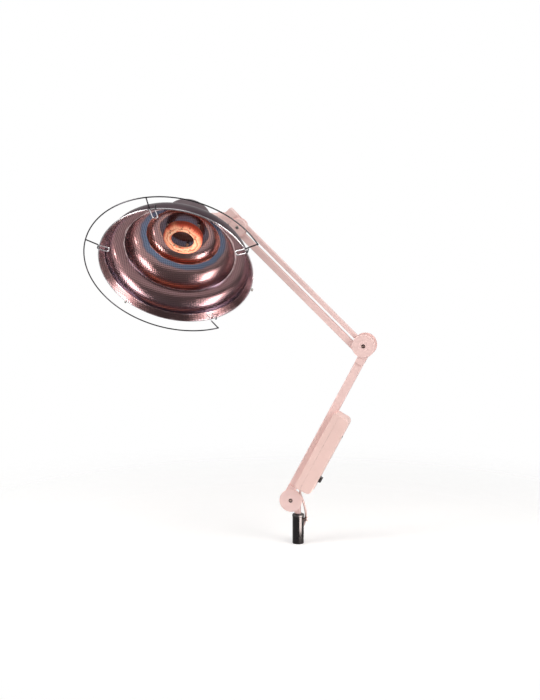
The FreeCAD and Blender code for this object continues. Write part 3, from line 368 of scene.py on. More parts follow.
def roundEdges(piece, test, radius, segments):
    pick(piece, "EDGE", test)
    bpy.ops.mesh.bevel(offset=radius, segments=segments, affect="EDGES")
    leaveEdit()


def upright(edge):
    return not near(edge.verts[0].co.z, edge.verts[1].co.z)


def flipped(piece, height=0):
    # a copy turned over about X
    only(piece)
    bpy.ops.object.duplicate()
    other = bpy.context.object
    other.rotation_euler = (math.pi, 0, 0)
    other.location = (0, 0, height)
    applyPlace()
    return other


def joined(first, others):
    only(first)
    for piece in others:
        piece.select_set(True)
    bpy.ops.object.join()
    return first


def roundWire(piece, radius, sides=3):
    # turns a chain of edges into a round wire
    only(piece)
    bpy.ops.object.convert(target="CURVE")
    wire = bpy.context.object
    wire.data.bevel_depth = radius
    wire.data.bevel_resolution = sides
    wire.data.use_fill_caps = True
    bpy.ops.object.convert(target="MESH")
    return cleaned(bpy.context.object)


def softCopy(node, body, finish, width=0.0003, segments=2, name=None):
    # a copy of a frame piece with its edges broken
    begin()
    piece = bpy.data.objects.new(name or camel(node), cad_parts[node].data.copy())
    bpy.context.scene.collection.objects.link(piece)
    piece.data.materials.clear()
    edit(cleaned(piece))
    bpy.ops.mesh.dissolve_limited(angle_limit=math.radians(0.6))
    softened(piece, width, segments, 40)
    return settled(piece, ground, body, finish, node, 30)


# small tools for finishes; the nodes stand in columns, each to the right of what feeds it
tidyTree = {"first": -2400, "column": 200, "row": -220, "output": 300}
noiseSpan = (0.3, 0.7)  # nearly all of a noise texture lies between these


def tone(red, green, blue):
    linear = [(part / 255 / 12.92) if part < 11 else ((part / 255 + 0.055) / 1.055) ** 2.4
              for part in (red, green, blue)]
    return (*linear, 1)


def put(tree, kind, inputs=(), place=None, **settings):
    node = tree.nodes.new("ShaderNode" + kind)
    for key, value in settings.items():
        setattr(node, key, value)
    across = tidyTree["first"]
    for key, value in dict(inputs).items():
        if isinstance(value, bpy.types.NodeSocket):
            tree.links.new(value, node.inputs[key])
            across = max(across, value.node.location.x + tidyTree["column"])
        else:
            node.inputs[key].default_value = value
    row = sum(other.location.x == across for other in tree.nodes)
    node.location = place or (across, tidyTree["row"] * row)
    return node


def feed(tree, inputs, **sockets):
    for key, socket in sockets.items():
        tree.links.new(socket, inputs[key.replace("_", " ")])


def newFinish(name, **values):
    finish = bpy.data.materials.new(name)
    finish.use_nodes = True
    tree = finish.node_tree
    tree.nodes.clear()
    inputs = {key.replace("_", " "): value for key, value in values.items()}
    shader = put(tree, "BsdfPrincipled", inputs, (0, 0))
    put(tree, "OutputMaterial", {"Surface": shader.outputs["BSDF"]}, (tidyTree["output"], 0))
    return finish, tree, shader


def newGroup(name, inputs, outputs):
    tree = bpy.data.node_groups.new(name, "ShaderNodeTree")
    kinds = {float: "NodeSocketFloat", tuple: "NodeSocketColor"}
    for label, value in inputs.items():
        socket = tree.interface.new_socket(name=label, in_out="INPUT", socket_type=kinds[type(value)])
        socket.default_value = value
    for label, kind in outputs.items():
        tree.interface.new_socket(name=label, in_out="OUTPUT", socket_type="NodeSocket" + kind)
    entry = tree.nodes.new("NodeGroupInput")
    entry.location = (tidyTree["first"], 0)
    leave = tree.nodes.new("NodeGroupOutput")
    return tree, entry.outputs, leave.inputs


def calc(tree, operation, *values):
    return put(tree, "Math", dict(enumerate(values)), operation=operation).outputs[0]


def noise(tree, spot, scale, detail):
    return put(tree, "TexNoise", {"Vector": spot, "Scale": scale, "Detail": detail}).outputs["Fac"]


def remap(tree, value, start, end, low=0.0, high=1.0, **settings):
    return put(tree, "MapRange", {"Value": value, "From Min": start, "From Max": end, "To Min": low,
                                  "To Max": high}, **settings).outputs[0]


def scaled(tree, colour, amount):
    return put(tree, "VectorMath", {0: colour, "Scale": amount}, operation="SCALE").outputs[0]


def bumped(tree, strength, distance, height):
    return put(tree, "Bump", {"Strength": strength, "Distance": distance, "Height": height}).outputs[0]


def length(tree, spot):
    return put(tree, "VectorMath", {0: spot}, operation="LENGTH").outputs["Value"]


def ramp(tree, value, stops):
    node = put(tree, "ValToRGB", {"Fac": value})
    marks = node.color_ramp.elements
    marks[0].position, marks[0].color = stops[0]
    marks[1].position, marks[1].color = stops[-1]
    for position, colour in stops[1:-1]:
        marks.new(position).color = colour
    return node.outputs["Color"]


def objectSpot(tree):
    return put(tree, "TexCoord").outputs["Object"]


skinOutputs = {"Colour": "Color", "Roughness": "Float", "Normal": "Vector"}
paint = {"cloud": 17.0, "arris": (0.52, 0.6), "speck": 420.0, "broken": (0.45, 0.65),
         "worn": (0.62, 0.58, 0.56, 1), "smear": 48.0, "smearing": 0.07, "peelHeight": 0.00012}
metal = {"patch": 90.0, "patched": (0.35, 0.7), "drawn": (900, 900, 140), "scratching": 0.08,
         "scratchHeight": 0.00003}


def paintSkin():
    # sprayed paint or moulded plastic: cloudy colour, rubbed arrises, orange peel
    tree, given, result = newGroup("paintSkin", {
        "Colour": (0.8, 0.8, 0.8, 1.0), "Cloud": 0.04, "Gloss": 0.35, "Peel": 0.3, "Peel size": 900.0,
        "Rub": 0.25}, skinOutputs)
    spot = objectSpot(tree)
    swing = remap(tree, noise(tree, spot, paint["cloud"], 4.0), *noiseSpan, -1.0, 1.0)
    bright = calc(tree, "ADD", calc(tree, "MULTIPLY", swing, given["Cloud"]), 1.0)
    clouded = scaled(tree, given["Colour"], bright)
    edge = put(tree, "NewGeometry").outputs["Pointiness"]
    arris = remap(tree, edge, *paint["arris"])
    broken = remap(tree, noise(tree, spot, paint["speck"], 5.0), *paint["broken"])
    rubbed = calc(tree, "MULTIPLY", calc(tree, "MULTIPLY", arris, broken), given["Rub"])
    worn = put(tree, "Mix", {"Factor": rubbed, 6: clouded, 7: paint["worn"]}, data_type="RGBA")
    smear = noise(tree, spot, paint["smear"], 6.0)
    smear = remap(tree, smear, *noiseSpan, -paint["smearing"], paint["smearing"])
    peel = noise(tree, spot, given["Peel size"], 2.0)
    feed(tree, result, Colour=worn.outputs[2], Roughness=calc(tree, "ADD", given["Gloss"], smear),
         Normal=bumped(tree, given["Peel"], paint["peelHeight"], peel))
    return tree


def metalSkin():
    # plated or turned metal: fine scratches, dull patches
    tree, given, result = newGroup("metalSkin", {
        "Colour": (0.8, 0.8, 0.8, 1.0), "Dull": 0.12, "Patch": 0.15, "Scratch": 0.2}, skinOutputs)
    spot = objectSpot(tree)
    patch = remap(tree, noise(tree, spot, metal["patch"], 6.0), *metal["patched"])
    amount = calc(tree, "MULTIPLY", patch, given["Patch"])
    colour = scaled(tree, given["Colour"], calc(tree, "SUBTRACT", 1.0, amount))
    drawn = put(tree, "Mapping", {"Vector": spot, "Scale": metal["drawn"]}).outputs[0]
    lines = noise(tree, drawn, 1.0, 3.0)
    rough = calc(tree, "ADD", amount, given["Dull"])
    rough = calc(tree, "ADD", rough, calc(tree, "MULTIPLY", lines, metal["scratching"]))
    feed(tree, result, Colour=colour, Roughness=rough,
         Normal=bumped(tree, given["Scratch"], metal["scratchHeight"], lines))
    return tree


paintGroup = paintSkin()
metalGroup = metalSkin()


def skinned(name, group, look, **values):
    finish, tree, shader = newFinish(name, **values)
    skin = put(tree, "Group", look, node_tree=group).outputs
    feed(tree, shader.inputs, Base_Color=skin["Colour"], Roughness=skin["Roughness"], Normal=skin["Normal"])
    return finish


def painted(name, colour, cloud=0.04, gloss=0.35, peel=0.3, peelSize=900.0, rub=0.25, **values):
    return skinned(name, paintGroup, {"Colour": tone(*colour), "Cloud": cloud, "Gloss": gloss, "Peel": peel,
                                      "Peel size": peelSize, "Rub": rub}, **values)


def plated(name, colour, dull=0.12, patch=0.15, scratch=0.2):
    return skinned(name, metalGroup, {"Colour": tone(*colour), "Dull": dull, "Patch": patch,
                                      "Scratch": scratch}, Metallic=1.0)


pinkEnamel = painted("pinkEnamel", (241, 207, 202), 0.03, 0.42, 0.1, rub=0.08)
pinkShell = painted("pinkShell", (243, 208, 200), 0.03, 0.42, 0.12, 1600.0, 0.05)
blackLacquer = painted("blackLacquer", (12, 6, 7), 0.3, 0.2, 0.05, 500.0, 0.3, Specular_IOR_Level=0.25)
blackPlastic = painted("blackPlastic", (28, 25, 26), 0.2, 0.42, 0.5, 2200.0, 0.12)
greyPlastic = painted("greyPlastic", (120, 118, 116), gloss=0.5, peel=0.4)
ivoryPlastic = painted("ivoryPlastic", (226, 219, 202), gloss=0.45, peel=0.3)
whiteCeramic = painted("whiteCeramic", (214, 204, 192), 0.08, 0.5, 0.6, 1500.0)
leadRubber = painted("leadRubber", (214, 184, 178), 0.05, 0.4, 0.4, 1300.0)
softRubber = painted("softRubber", (52, 46, 47), 0.15, 0.6, 0.5, 1600.0)
# one chrome in two tones: the dark one is painted dark reflection, the bright one a painted highlight
shadedChrome = plated("shadedChrome", (62, 60, 64), 0.05, 0.1)
zinc = plated("zinc", (176, 172, 166), 0.26, 0.25, 0.4)
litChrome = plated("litChrome", (226, 225, 229), 0.08, 0.1)
blackSteel = plated("blackSteel", (56, 40, 40), 0.3, 0.35, 0.4)
# pale steel: the wing leaves' own finish, and a painted highlight inside the bolts' sockets
satinSteelAndGlint = plated("satinSteelAndGlint", (206, 190, 184), 0.42, 0.12, 0.3)
darkSteel = plated("darkSteel", (92, 80, 78), 0.24, 0.35, 0.4)
print("finishes mixed")


# lead from the control box to the column; its points are the route's own
lead = {
    "radius": 0.0024,
    "gland": (0.034, -0.009, -0.0065),  # in the lower arm
    "above": [(0.0094, -0.0066, 0.0978), (0.0130, -0.0038, 0.0865), (0.0149, -0.0006, 0.0760)],
    "meeting": (0.0153, 0.0022, 0.0694),
    "below": [(0.0157, 0.0050, 0.0628), (0.0141, 0.0096, 0.0530), (0.0117, 0.0140, 0.0436),
              (0.0083, 0.0189, 0.0352), (0.0046, 0.0229, 0.0280), (0.0016, 0.0226, 0.0206)],
    "mouth": (0, 0.01808, 0.018),
    "end": (0, 0.004, 0.018),
}


def leadPiece(name, points):
    begin()
    data = bpy.data.curves.new(name, "CURVE")
    data.dimensions = "3D"
    spline = data.splines.new("NURBS")
    spline.points.add(len(points) - 1)
    for spot, point in zip(spline.points, points):
        spot.co = (*point, 1)
    spline.order_u = 3
    spline.use_endpoint_u = True
    spline.resolution_u = 14
    data.bevel_depth = lead["radius"]
    data.bevel_resolution = 5
    data.use_fill_caps = True
    piece = bpy.data.objects.new(name, data)
    bpy.context.scene.collection.objects.link(piece)
    only(piece)
    bpy.ops.object.convert(target="MESH")
    piece = cleaned(bpy.context.object)
    piece.data.materials.append(leadRubber)
    shaded(piece, 40)
    return piece


def leads():
    x, y, z = lead["gland"]
    inner = armPlace @ Vector((x + 0.004, y, z))
    outer = armPlace @ Vector((x - 0.010, y, z))
    upper = leadPiece("leadUpper", [inner, outer] + lead["above"] + [lead["meeting"]])
    lower = leadPiece("leadLower", [lead["meeting"]] + lead["below"] + [lead["mouth"], lead["end"]])
    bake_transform(upper)
    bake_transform(lower)
    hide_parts("lead_upper")
    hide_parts("lead_lower")


leads()
print("lead routed")

# column; the grommet's section holds (radius, distance from the column's axis) pairs
column = {
    "radius": 0.012, "wall": 0.0015, "seat": 0.012, "groove": 0.0004, "top": 0.058, "bore": 0.00508,
    "tubeRounds": [0.0003, 0.0006, 0.0001, 0.0001, 0.0001, 0.0001, 0.0004, 0.0003],
    "capRadius": 0.0126, "capTop": 0.064, "capRound": 0.003, "capPlug": 0.034, "plugGap": 0.00005,
    "wallMiddle": 0.011, "screwHeight": 0.0525, "screwBore": 0.0032, "leadHeight": 0.018, "leadBore": 0.00345,
    "grommet": [(0.00245, 0.0105), (0.0034, 0.0105), (0.0034, 0.012), (0.005, 0.012), (0.0048, 0.0131),
                (0.0036, 0.014), (0.00245, 0.014)],
    "grommetRounds": [0, 0.0002, 0, 0.0003, 0.0005, 0.0003, 0.0002],
}


def columnPieces():
    outer, wall, low, groove, top = take(column, "radius wall seat groove top")
    inner, deep, high = outer - wall, outer - groove, low + 2 * groove
    tube = spun("columnTube", rounded([(inner, 0), (outer, 0), (outer, low), (deep, low), (deep, high),
                                       (outer, high), (outer, top), (inner, top)], column["tubeRounds"]))
    screwHole = (column["wallMiddle"], 0, column["screwHeight"])
    drilled(tube, screwHole, (1, 0, 0), column["screwBore"], depth=0.012)
    drilled(tube, (0, column["wallMiddle"], column["leadHeight"]), (0, 1, 0), column["leadBore"], depth=0.012)
    settled(tube, ground, "column", blackLacquer, "column_tube")
    plug = inner - column["plugGap"]
    bore, rim, capTop, capPlug = take(column, "bore capRadius capTop capPlug")
    cap = spun("columnCap", rounded([(bore, capPlug), (plug, capPlug), (plug, top), (rim, top), (rim, capTop),
                                     (bore + 0.0012, capTop), (bore, capTop - 0.0009)],
                                    [0, 0.0008, 0, 0.0006, column["capRound"], 0.0004, 0.0004], 6))
    drilled(cap, screwHole, (1, 0, 0), column["screwBore"], depth=0.016)
    settled(cap, ground, "column", blackPlastic, "column_cap")
    lathed("lead_grommet", rounded(column["grommet"], column["grommetRounds"]), 48,
           shift(z=column["leadHeight"]) @ toRear, "column", softRubber)


columnPieces()

# wing screw that clamps the swivel
wing = {"height": 0.0525, "thread": 0.003, "hubStart": 0.014, "hubEnd": 0.0184, "hub": 0.0043,
        "start": 0.0052, "reach": 0.0047, "span": 0.0066, "thickness": 0.0022, "pitch": 0.0008,
        "threadDepth": 0.0004}


def wingScrew():
    hub, collar, far, pitch, thread, start = take(wing, "hub hubStart hubEnd pitch thread start")
    root = thread - wing["threadDepth"]
    section = [(0, start), (thread * 0.8, start)]
    along = start + 0.0006
    while along < collar - pitch:  # rolled thread
        section += [(thread, along), (root, along + pitch / 2)]
        along += pitch
    section += rounded([(root, collar), (hub * 0.92, collar), (hub, collar + 0.0012), (hub * 0.96, far),
                        (0, far)], [0, 0.0004, 0.0008, 0.0009, 0])
    tip, span = far + wing["reach"], wing["span"]
    leaf = [(far - 0.0022, hub * 0.45), (far - 0.0011, hub * 0.95), (far + 0.0012, span * 0.82),
            (far + wing["reach"] * 0.6, span), (tip, span * 0.9), (tip, span * 0.6),
            (far - 0.0005, hub * 0.25)]
    half = wing["thickness"] / 2
    place = shift(z=wing["height"])
    lathed("wing_screw", section, 48, place @ turned(90, "Y"), "wing_screw", darkSteel, 50, "wingHub")
    wings = slab("wingLeaves", rounded(leaf, [0, 0, 0.001, 0.0012, 0.0008, 0.0008, 0]), -half, half)
    softened(wings, 0.0005, 3)
    joined(wings, [flipped(wings)])
    settled(wings, place, "wing_screw", satinSteelAndGlint, "wing_screw")


wingScrew()
softCopy("pivot_bracket", "swivel_bracket", pinkEnamel, 0.0008, 3)
print("column and swivel made")

# lower arm
channel = {"start": 0.016, "end": 0.332, "low": 0.0018, "high": 0.0198, "depth": 0.022, "wall": 0.0016,
           "round": 0.0022, "innerRound": 0.0008, "arris": 0.0003}


def armChannel():
    sides = []
    for name, wall, radius in (("armChannel", 0, channel["round"]),
                               ("armHollow", channel["wall"], channel["innerRound"])):
        half, low, high = channel["depth"] / 2 - wall, channel["low"] + wall, channel["high"] - wall
        shape = rounded([(-half, low), (half, low), (half, high), (-half, high)], radius, 6)
        sides.append(beam(name, shape, channel["start"], channel["end"]))
    tube, core = sides
    core.scale = (1.1, 1, 1)  # the hollow runs past both ends
    core.location = (-0.02, 0, 0)
    carved(tube, core)
    softened(tube, channel["arris"], 2)
    settled(tube, armPlace, "lower_arm", pinkEnamel, "arm_channel", 30)


armChannel()

# round covers and pivot bolts
pivot = {"disc": 0.024, "discRound": 0.0012, "dish": 0.00035, "dishStart": 0.0052, "dishEnd": 0.0040,
         "face": 0.015, "outer": 0.018, "bore": 0.00405, "bolt": 0.004, "proud": 0.0005, "chamfer": 0.0007,
         "boltArris": 0.0004, "socket": 0.0022, "socketDepth": 0.003, "socketTurn": 0.35, "nut": 0.0065,
         "nutHeight": 0.0045, "nutCorner": 0.0078, "nutFace": 0.0064, "nutSlope": 0.0016}


def coverDisc(node, place):
    # a pressed cover: rounded edge, shallow dish round its bolt
    radius, bore, inner, outer = take(pivot, "disc bore face outer")
    low = outer - pivot["dish"]
    line = rounded([(radius, inner), (radius, outer), (bore + pivot["dishStart"], outer),
                    (bore + pivot["dishEnd"], low), (bore, low), (bore, inner)],
                   [0, pivot["discRound"], 0.0006, 0.0006, 0.0002, 0], 6)[1:-1]
    lathed(node, [(bore, inner), (radius, inner)] + line, 128, place, "lower_arm", pinkEnamel, 50)


def hexagon(across, depth, place, turn=0):
    # across is half the distance between flats
    return cylinder(across * 2 / math.sqrt(3), depth, place, 6, (0, 0, turn))


def pivotBolt(node, place, front, reach):
    # the head has a hexagon socket with a broken edge
    cylinder(pivot["bolt"], reach, (0, 0, front - reach / 2))
    bolt = called(camel(node))
    pick(bolt, "FACE", lambda face: face.normal.z > 0.9)
    bpy.ops.mesh.inset(thickness=pivot["chamfer"])
    softened(bolt, pivot["boltArris"], 3, 60)
    across, deep = take(pivot, "socket socketDepth")
    carved(bolt, hexagon(across, 2 * deep, (0, 0, front), pivot["socketTurn"]))
    # the faces inside the socket take the pale steel as a painted highlight, the rest of the head the dark
    # steel
    twoFinishes(bolt, blackSteel, satinSteelAndGlint, lambda face: (
        math.hypot(face.center.x, face.center.y) < across * 1.1
        and -deep * 1.1 < face.center.z - front < -0.0002))
    settled(bolt, place @ toFront, "lower_arm", blackSteel, node)


def hexNut(node, place, start):
    tall, slope, corner = take(pivot, "nutHeight nutSlope nutCorner")
    middle = (0, 0, start + tall / 2)
    hexagon(pivot["nut"], tall, middle)
    nut = called(camel(node))
    begin()  # the corners are turned off on both faces
    bpy.ops.mesh.primitive_cone_add(vertices=72, radius1=corner, radius2=pivot["nutFace"], depth=slope,
                                    location=(0, 0, start + tall - slope / 2))
    top = called("nutTop")
    low = flipped(top, 2 * start + tall)
    cylinder(corner, tall - 2 * slope, middle)
    for part in (low, called("nutMiddle")):
        combined(top, part, "UNION")
    combined(nut, top, "INTERSECT")
    drilled(nut, (0, 0, start), (0, 0, 1), pivot["bore"], depth=0.02)
    settled(nut, place @ toRear, "lower_arm", zinc, node, 30)


def knuckles():
    face, outer, tall = take(pivot, "face outer nutHeight")
    proud = outer + pivot["proud"]
    coverDisc("base_disc", armPlace @ toFront)
    coverDisc("elbow_front_disc", elbowPlace @ toFront)
    coverDisc("elbow_rear_disc", elbowPlace @ toRear)
    pivotBolt("base_bolt", armPlace, proud, proud + face + tall)
    pivotBolt("elbow_bolt", elbowPlace, proud, proud + outer + tall)
    hexNut("base_nut", armPlace, face)
    hexNut("elbow_nut", elbowPlace, outer)
    for end in ("base", "elbow"):
        for side in ("front", "rear"):
            softCopy(f"{end}_{side}_plate", "lower_arm", pinkEnamel, 0.0005, 2, f"{end}{side}plateSoft")


knuckles()
print("knuckles made")

# control box on the channel
box = {"start": 0.034, "end": 0.214, "back": 0.006, "front": -0.036, "lip": 0.0065, "seam": -0.0065,
       "right": -0.031, "wall": 0.002, "corner": 0.011, "coverArris": 0.0022, "lipCorner": 0.0045,
       "baseArris": 0.0021, "seamGap": 0.00025, "screw": (0.1727, -0.015), "screwBore": 0.00175,
       "leadDepth": -0.009, "leadBore": 0.00345}

# push button in its bezel
switch = {"place": (0.0706, -0.015), "size": (0.011, 0.014), "proud": 0.0056, "sunk": 0.004, "gap": 0.0004,
          "corner": 0.0014, "dishes": ((0.0011, 0.00045), (0.0012, 0.00025)), "arris": 0.00045,
          "bezel": 0.0014, "bezelHeight": 0.0008, "bezelCorner": 0.0016, "bezelArris": 0.00025}


def moulded(shell, seam, arris, segments):
    # opens a half at the seam, softens its arrises, then gives it its wall
    pick(shell, "FACE", lambda face: abs(face.normal.z) > 0.95 and near(face.calc_center_median().z, seam))
    bpy.ops.mesh.delete(type="FACE")
    softened(shell, arris, segments, 50)
    applied(shell, "SOLIDIFY", thickness=box["wall"], offset=-1, use_even_offset=True)
    return cleaned(shell)


def leadHole(shell):
    drilled(shell, (box["start"], box["leadDepth"], box["seam"]), (1, 0, 0), box["leadBore"], depth=0.012)


def boxCover():
    start, end, right, corner = take(box, "start end right corner")
    seam = box["seam"] - box["seamGap"] / 2
    shape = rounded([(start, seam), (start, right), (end, right), (end, seam)], [0, corner, corner, 0], 8)
    cover = moulded(slab("boxCover", shape, box["back"], box["front"]), seam, box["coverArris"], 4)
    along, depth = switch["place"]
    wide, deep = switch["size"]
    block((wide + switch["gap"], deep + switch["gap"], 0.012), (along, depth, right))
    carved(cover, called("switchHole"))
    drilled(cover, (*box["screw"], right), (0, 0, 1), box["screwBore"], depth=0.02)
    leadHole(cover)
    settled(cover, armPlace, "lower_arm", pinkShell, "box_cover", 35)


def boxBase():
    lip, back, front = take(box, "lip back front")
    low, face = channel["low"], -channel["depth"] / 2
    seam = box["seam"] + box["seamGap"] / 2
    shape = [(back, seam), (back, low), (face, low), (face, lip), (front, lip), (front, seam)]
    base = beam("boxBase", shape, box["start"], box["end"])
    # the lip's two corners are rounded more than the arrises
    roundEdges(base, lambda edge: near(edge.verts[0].co.x, edge.verts[1].co.x)
               and all(near(vert.co.z, lip) for vert in edge.verts), box["lipCorner"], 6)
    moulded(base, seam, box["baseArris"], 5)
    leadHole(base)
    settled(base, armPlace, "lower_arm", pinkShell, "box_base", 35)


boxCover()
boxBase()


def screwHead(name, radius, height, place, body, finish, node):
    # a pan head with a cross recess
    line = [(0, 0), (radius, 0), (radius, height * 0.45), (radius * 0.72, height), (0, height)]
    head = spun(name, rounded(line, [0, 0, height * 0.2, height * 0.3, 0]), 48)
    for angle in (0, math.pi / 2):
        block((radius * 1.1, radius * 0.26, height * 0.9), (0, 0, height), angle + 0.5)
        carved(head, called("slot"))
    settled(head, place, body, finish, node, 35)


def switchPieces():
    (wide, deep), proud, sunk, gap, rim, tall = take(switch, "size proud sunk gap bezel bezelHeight")
    place = armPlace @ shift(*switch["place"], box["right"])
    block((wide, deep, proud + sunk), (0, 0, (sunk - proud) / 2))
    button = called("switchButton")
    roundEdges(button, upright, switch["corner"], 5)
    pick(button, "FACE", lambda face: face.normal.z < -0.9)
    for inset, depth in switch["dishes"]:  # finger dish
        bpy.ops.mesh.inset(thickness=inset)
        bpy.ops.transform.translate(value=(0, 0, depth))
    softened(button, switch["arris"], 3, 30)
    settled(button, place, "switch_button", blackPlastic, "switch_button", 45)
    block((wide + 2 * rim, deep + 2 * rim, tall), (0, 0, -tall / 2))
    bezel = called("switchBezel")
    roundEdges(bezel, upright, switch["bezelCorner"], 5)
    block((wide + gap, deep + gap, 0.01))
    carved(bezel, called("bezelHole"))
    softened(bezel, switch["bezelArris"], 2, 50)
    settled(bezel, place, "lower_arm", blackPlastic, "switch_bezel")
    screw = armPlace @ shift(*box["screw"], box["right"]) @ turned(180, "X")
    screwHead("coverScrewHead", 0.0031, 0.0009, screw, "lower_arm", darkSteel, "cover_screw")


switchPieces()

# gland where the lead leaves the box: (radius, distance along the arm) pairs
gland = {"section": [(0.00245, -0.004), (0.0030, -0.004), (0.0034, -0.0034), (0.0034, -0.0028),
                     (0.0038, -0.0028), (0.0046, -0.0018), (0.0046, 0), (0.0034, 0), (0.0034, 0.002),
                     (0.0046, 0.002), (0.0046, 0.004), (0.00245, 0.004)],
         "rounds": [0, 0.0002, 0.0002, 0.0001, 0.0002, 0.0004, 0.0003, 0, 0, 0.0002, 0.0004, 0]}
lathed("lead_gland", rounded(gland["section"], gland["rounds"]), 48,
       armPlace @ shift(*lead["gland"]) @ turned(90, "Y"), "lower_arm", softRubber)
print("control box made")

# bars of the upper arm
bars = {"length": 0.356, "depth": 0.012, "upper": 0.009, "lower": 0.0135, "upperEye": 0.006,
        "arris": 0.0011, "elbowBore": 0.00408, "pinBore": 0.00308, "steps": 28}


def bar(node, place, thickness, eye, firstBore):
    # straight, with a round eye at each end
    reach, steps = take(bars, "length steps")
    mouth = math.asin(min(1, thickness / 2 / eye))
    angles = [mouth + (math.tau - 2 * mouth) * step / steps for step in range(steps + 1)]
    shape = []
    for middle, turn in ((0, 0), (reach, math.pi)):
        shape += [(middle + eye * math.cos(angle + turn), eye * math.sin(angle + turn)) for angle in angles]
    piece = slab(camel(node), shape, -bars["depth"] / 2, bars["depth"] / 2)
    softened(piece, bars["arris"], 3, 60)
    drilled(piece, (0, 0, 0), (0, 1, 0), firstBore, depth=0.03)
    drilled(piece, (reach, 0, 0), (0, 1, 0), bars["pinBore"], depth=0.03)
    settled(piece, place, node, pinkEnamel, node, 35)


bar("upper_bar", barPlace, bars["upper"], bars["upperEye"], bars["elbowBore"])
bar("lower_bar", barPlace @ shift(z=stance["barSpacing"]), bars["lower"], bars["lower"] / 2, bars["pinBore"])
print("bars made")

# head link: fork, covers, screws
link = {"disc": 0.0187, "offset": 0.012, "cheek": 0.0092, "cover": 0.0122, "bore": 0.00175, "round": 0.0012,
        "boreRound": 0.0002, "screw": 0.0034, "screwHeight": 0.0009, "forkArris": 0.0007}


def headLink():
    softCopy("link_fork", "head_link", pinkEnamel, link["forkArris"], 3)
    bore, disc, cheek, cover = take(link, "bore disc cheek cover")
    corners = [(disc, cheek), (disc, cover), (bore, cover)]
    section = [(bore, cheek), (disc, cheek)] + rounded(corners, [0, link["round"], link["boreRound"]], 6)[1:]
    for side, turn in (("front", toFront), ("rear", toRear)):
        place = linkPlace @ shift(z=link["offset"]) @ turn
        lathed(f"link_{side}_disc", section, 112, place, "head_link", pinkEnamel, 50)
        screwHead(f"link{side.title()}Screw", link["screw"], link["screwHeight"], place @ shift(z=cover),
                  "head_link", zinc, "link_screws")


headLink()
print("head link made")

# reflector: one dimpled sheet, stepped in ridges; a ridge is (radius, depth) behind the rim
dish = {"rim": 0.158, "lip": 0.003, "sheet": 0.0012, "step": 0.0009, "back": 0.0525, "depth": 0.105,
        "ridges": [(0.148, 0.012), (0.114, 0.047), (0.089, 0.082), (0.076, 0.086)],
        "bulges": (0.0125, 0.0075, 0.006), "arcSteps": (26, 16, 12), "arris": 0.0006, "dimple": 0.0045,
        "dimpleDepth": 0.24, "dimpleHeight": 0.0006, "hollow": (0.12, 0.46), "pit": (0.42, 1.15),
        "grain": 900.0, "graining": 0.06}


def bulged(inner, outer, rise, count):
    # an arc from the inner point to the outer one that swells away from the mouth
    along = Vector(outer) - Vector(inner)
    out = Vector((-along.y, along.x)).normalized()
    middle = (Vector(inner) + Vector(outer)) / 2 + out * rise
    return arc(inner, tuple(middle), outer, count)


def dishLine(step, extra):
    # the section from the flat back to the first ridge
    first, second, third, fourth = [(radius + step, depth + step) for radius, depth in dish["ridges"]]
    back = (dish["back"] + step, dish["depth"] + extra)
    rises = [rise + extra * 0.2 for rise in dish["bulges"]]
    counts = dish["arcSteps"]
    line = [(0, back[1]), (back[0] * 0.34, back[1]), (back[0] * 0.7, back[1]), back]
    line += bulged(back, fourth, rises[2], counts[2]) + [third]
    line += bulged(third, second, rises[1], counts[1])
    return line + bulged(second, first, rises[0], counts[0])


def onLine(radius, height, line):
    # how far a point is from the section, and how far along the section that is
    spot, passed, best = Vector((radius, height)), 0, (math.inf, 0)
    for start, end in zip(line, line[1:]):
        start, along = Vector(start), Vector(end) - Vector(start)
        share = min(1, max(0, (spot - start).dot(along) / along.length_squared))
        best = min(best, ((start + along * share - spot).length, passed + along.length * share))
        passed += along.length
    return best


def unrolled(piece, line):
    # a map that lays the pressed sheet out flat again, in metres
    layer = piece.data.uv_layers.new(name="unrolled")
    for loop in piece.data.loops:
        x, y, z = piece.data.vertices[loop.vertex_index].co
        reach = onLine(math.hypot(x, y), z, line)[1]
        turn = math.atan2(y, x)
        layer.data[loop.index].uv = (reach * math.cos(turn), reach * math.sin(turn))


def dimples():
    tree, given, result = newGroup("dimples", {"Pitch": 0.0045, "Depth": 0.6},
                                   {"Normal": "Vector", "Hollow": "Float"})
    spot = put(tree, "UVMap", uv_map="unrolled").outputs["UV"]
    grid = scaled(tree, spot, calc(tree, "DIVIDE", 1.0, given["Pitch"]))
    cell = put(tree, "TexVoronoi", {"Vector": grid, "Scale": 1.0, "Randomness": 0.0}, voronoi_dimensions="2D")
    hollow = remap(tree, cell.outputs["Distance"], *dish["hollow"], interpolation_type="SMOOTHSTEP")
    fine = calc(tree, "MULTIPLY", noise(tree, spot, dish["grain"], 3.0), dish["graining"])
    height = calc(tree, "ADD", hollow, fine)
    feed(tree, result, Normal=bumped(tree, given["Depth"], dish["dimpleHeight"], height), Hollow=hollow)
    return tree


dimpleGroup = dimples()

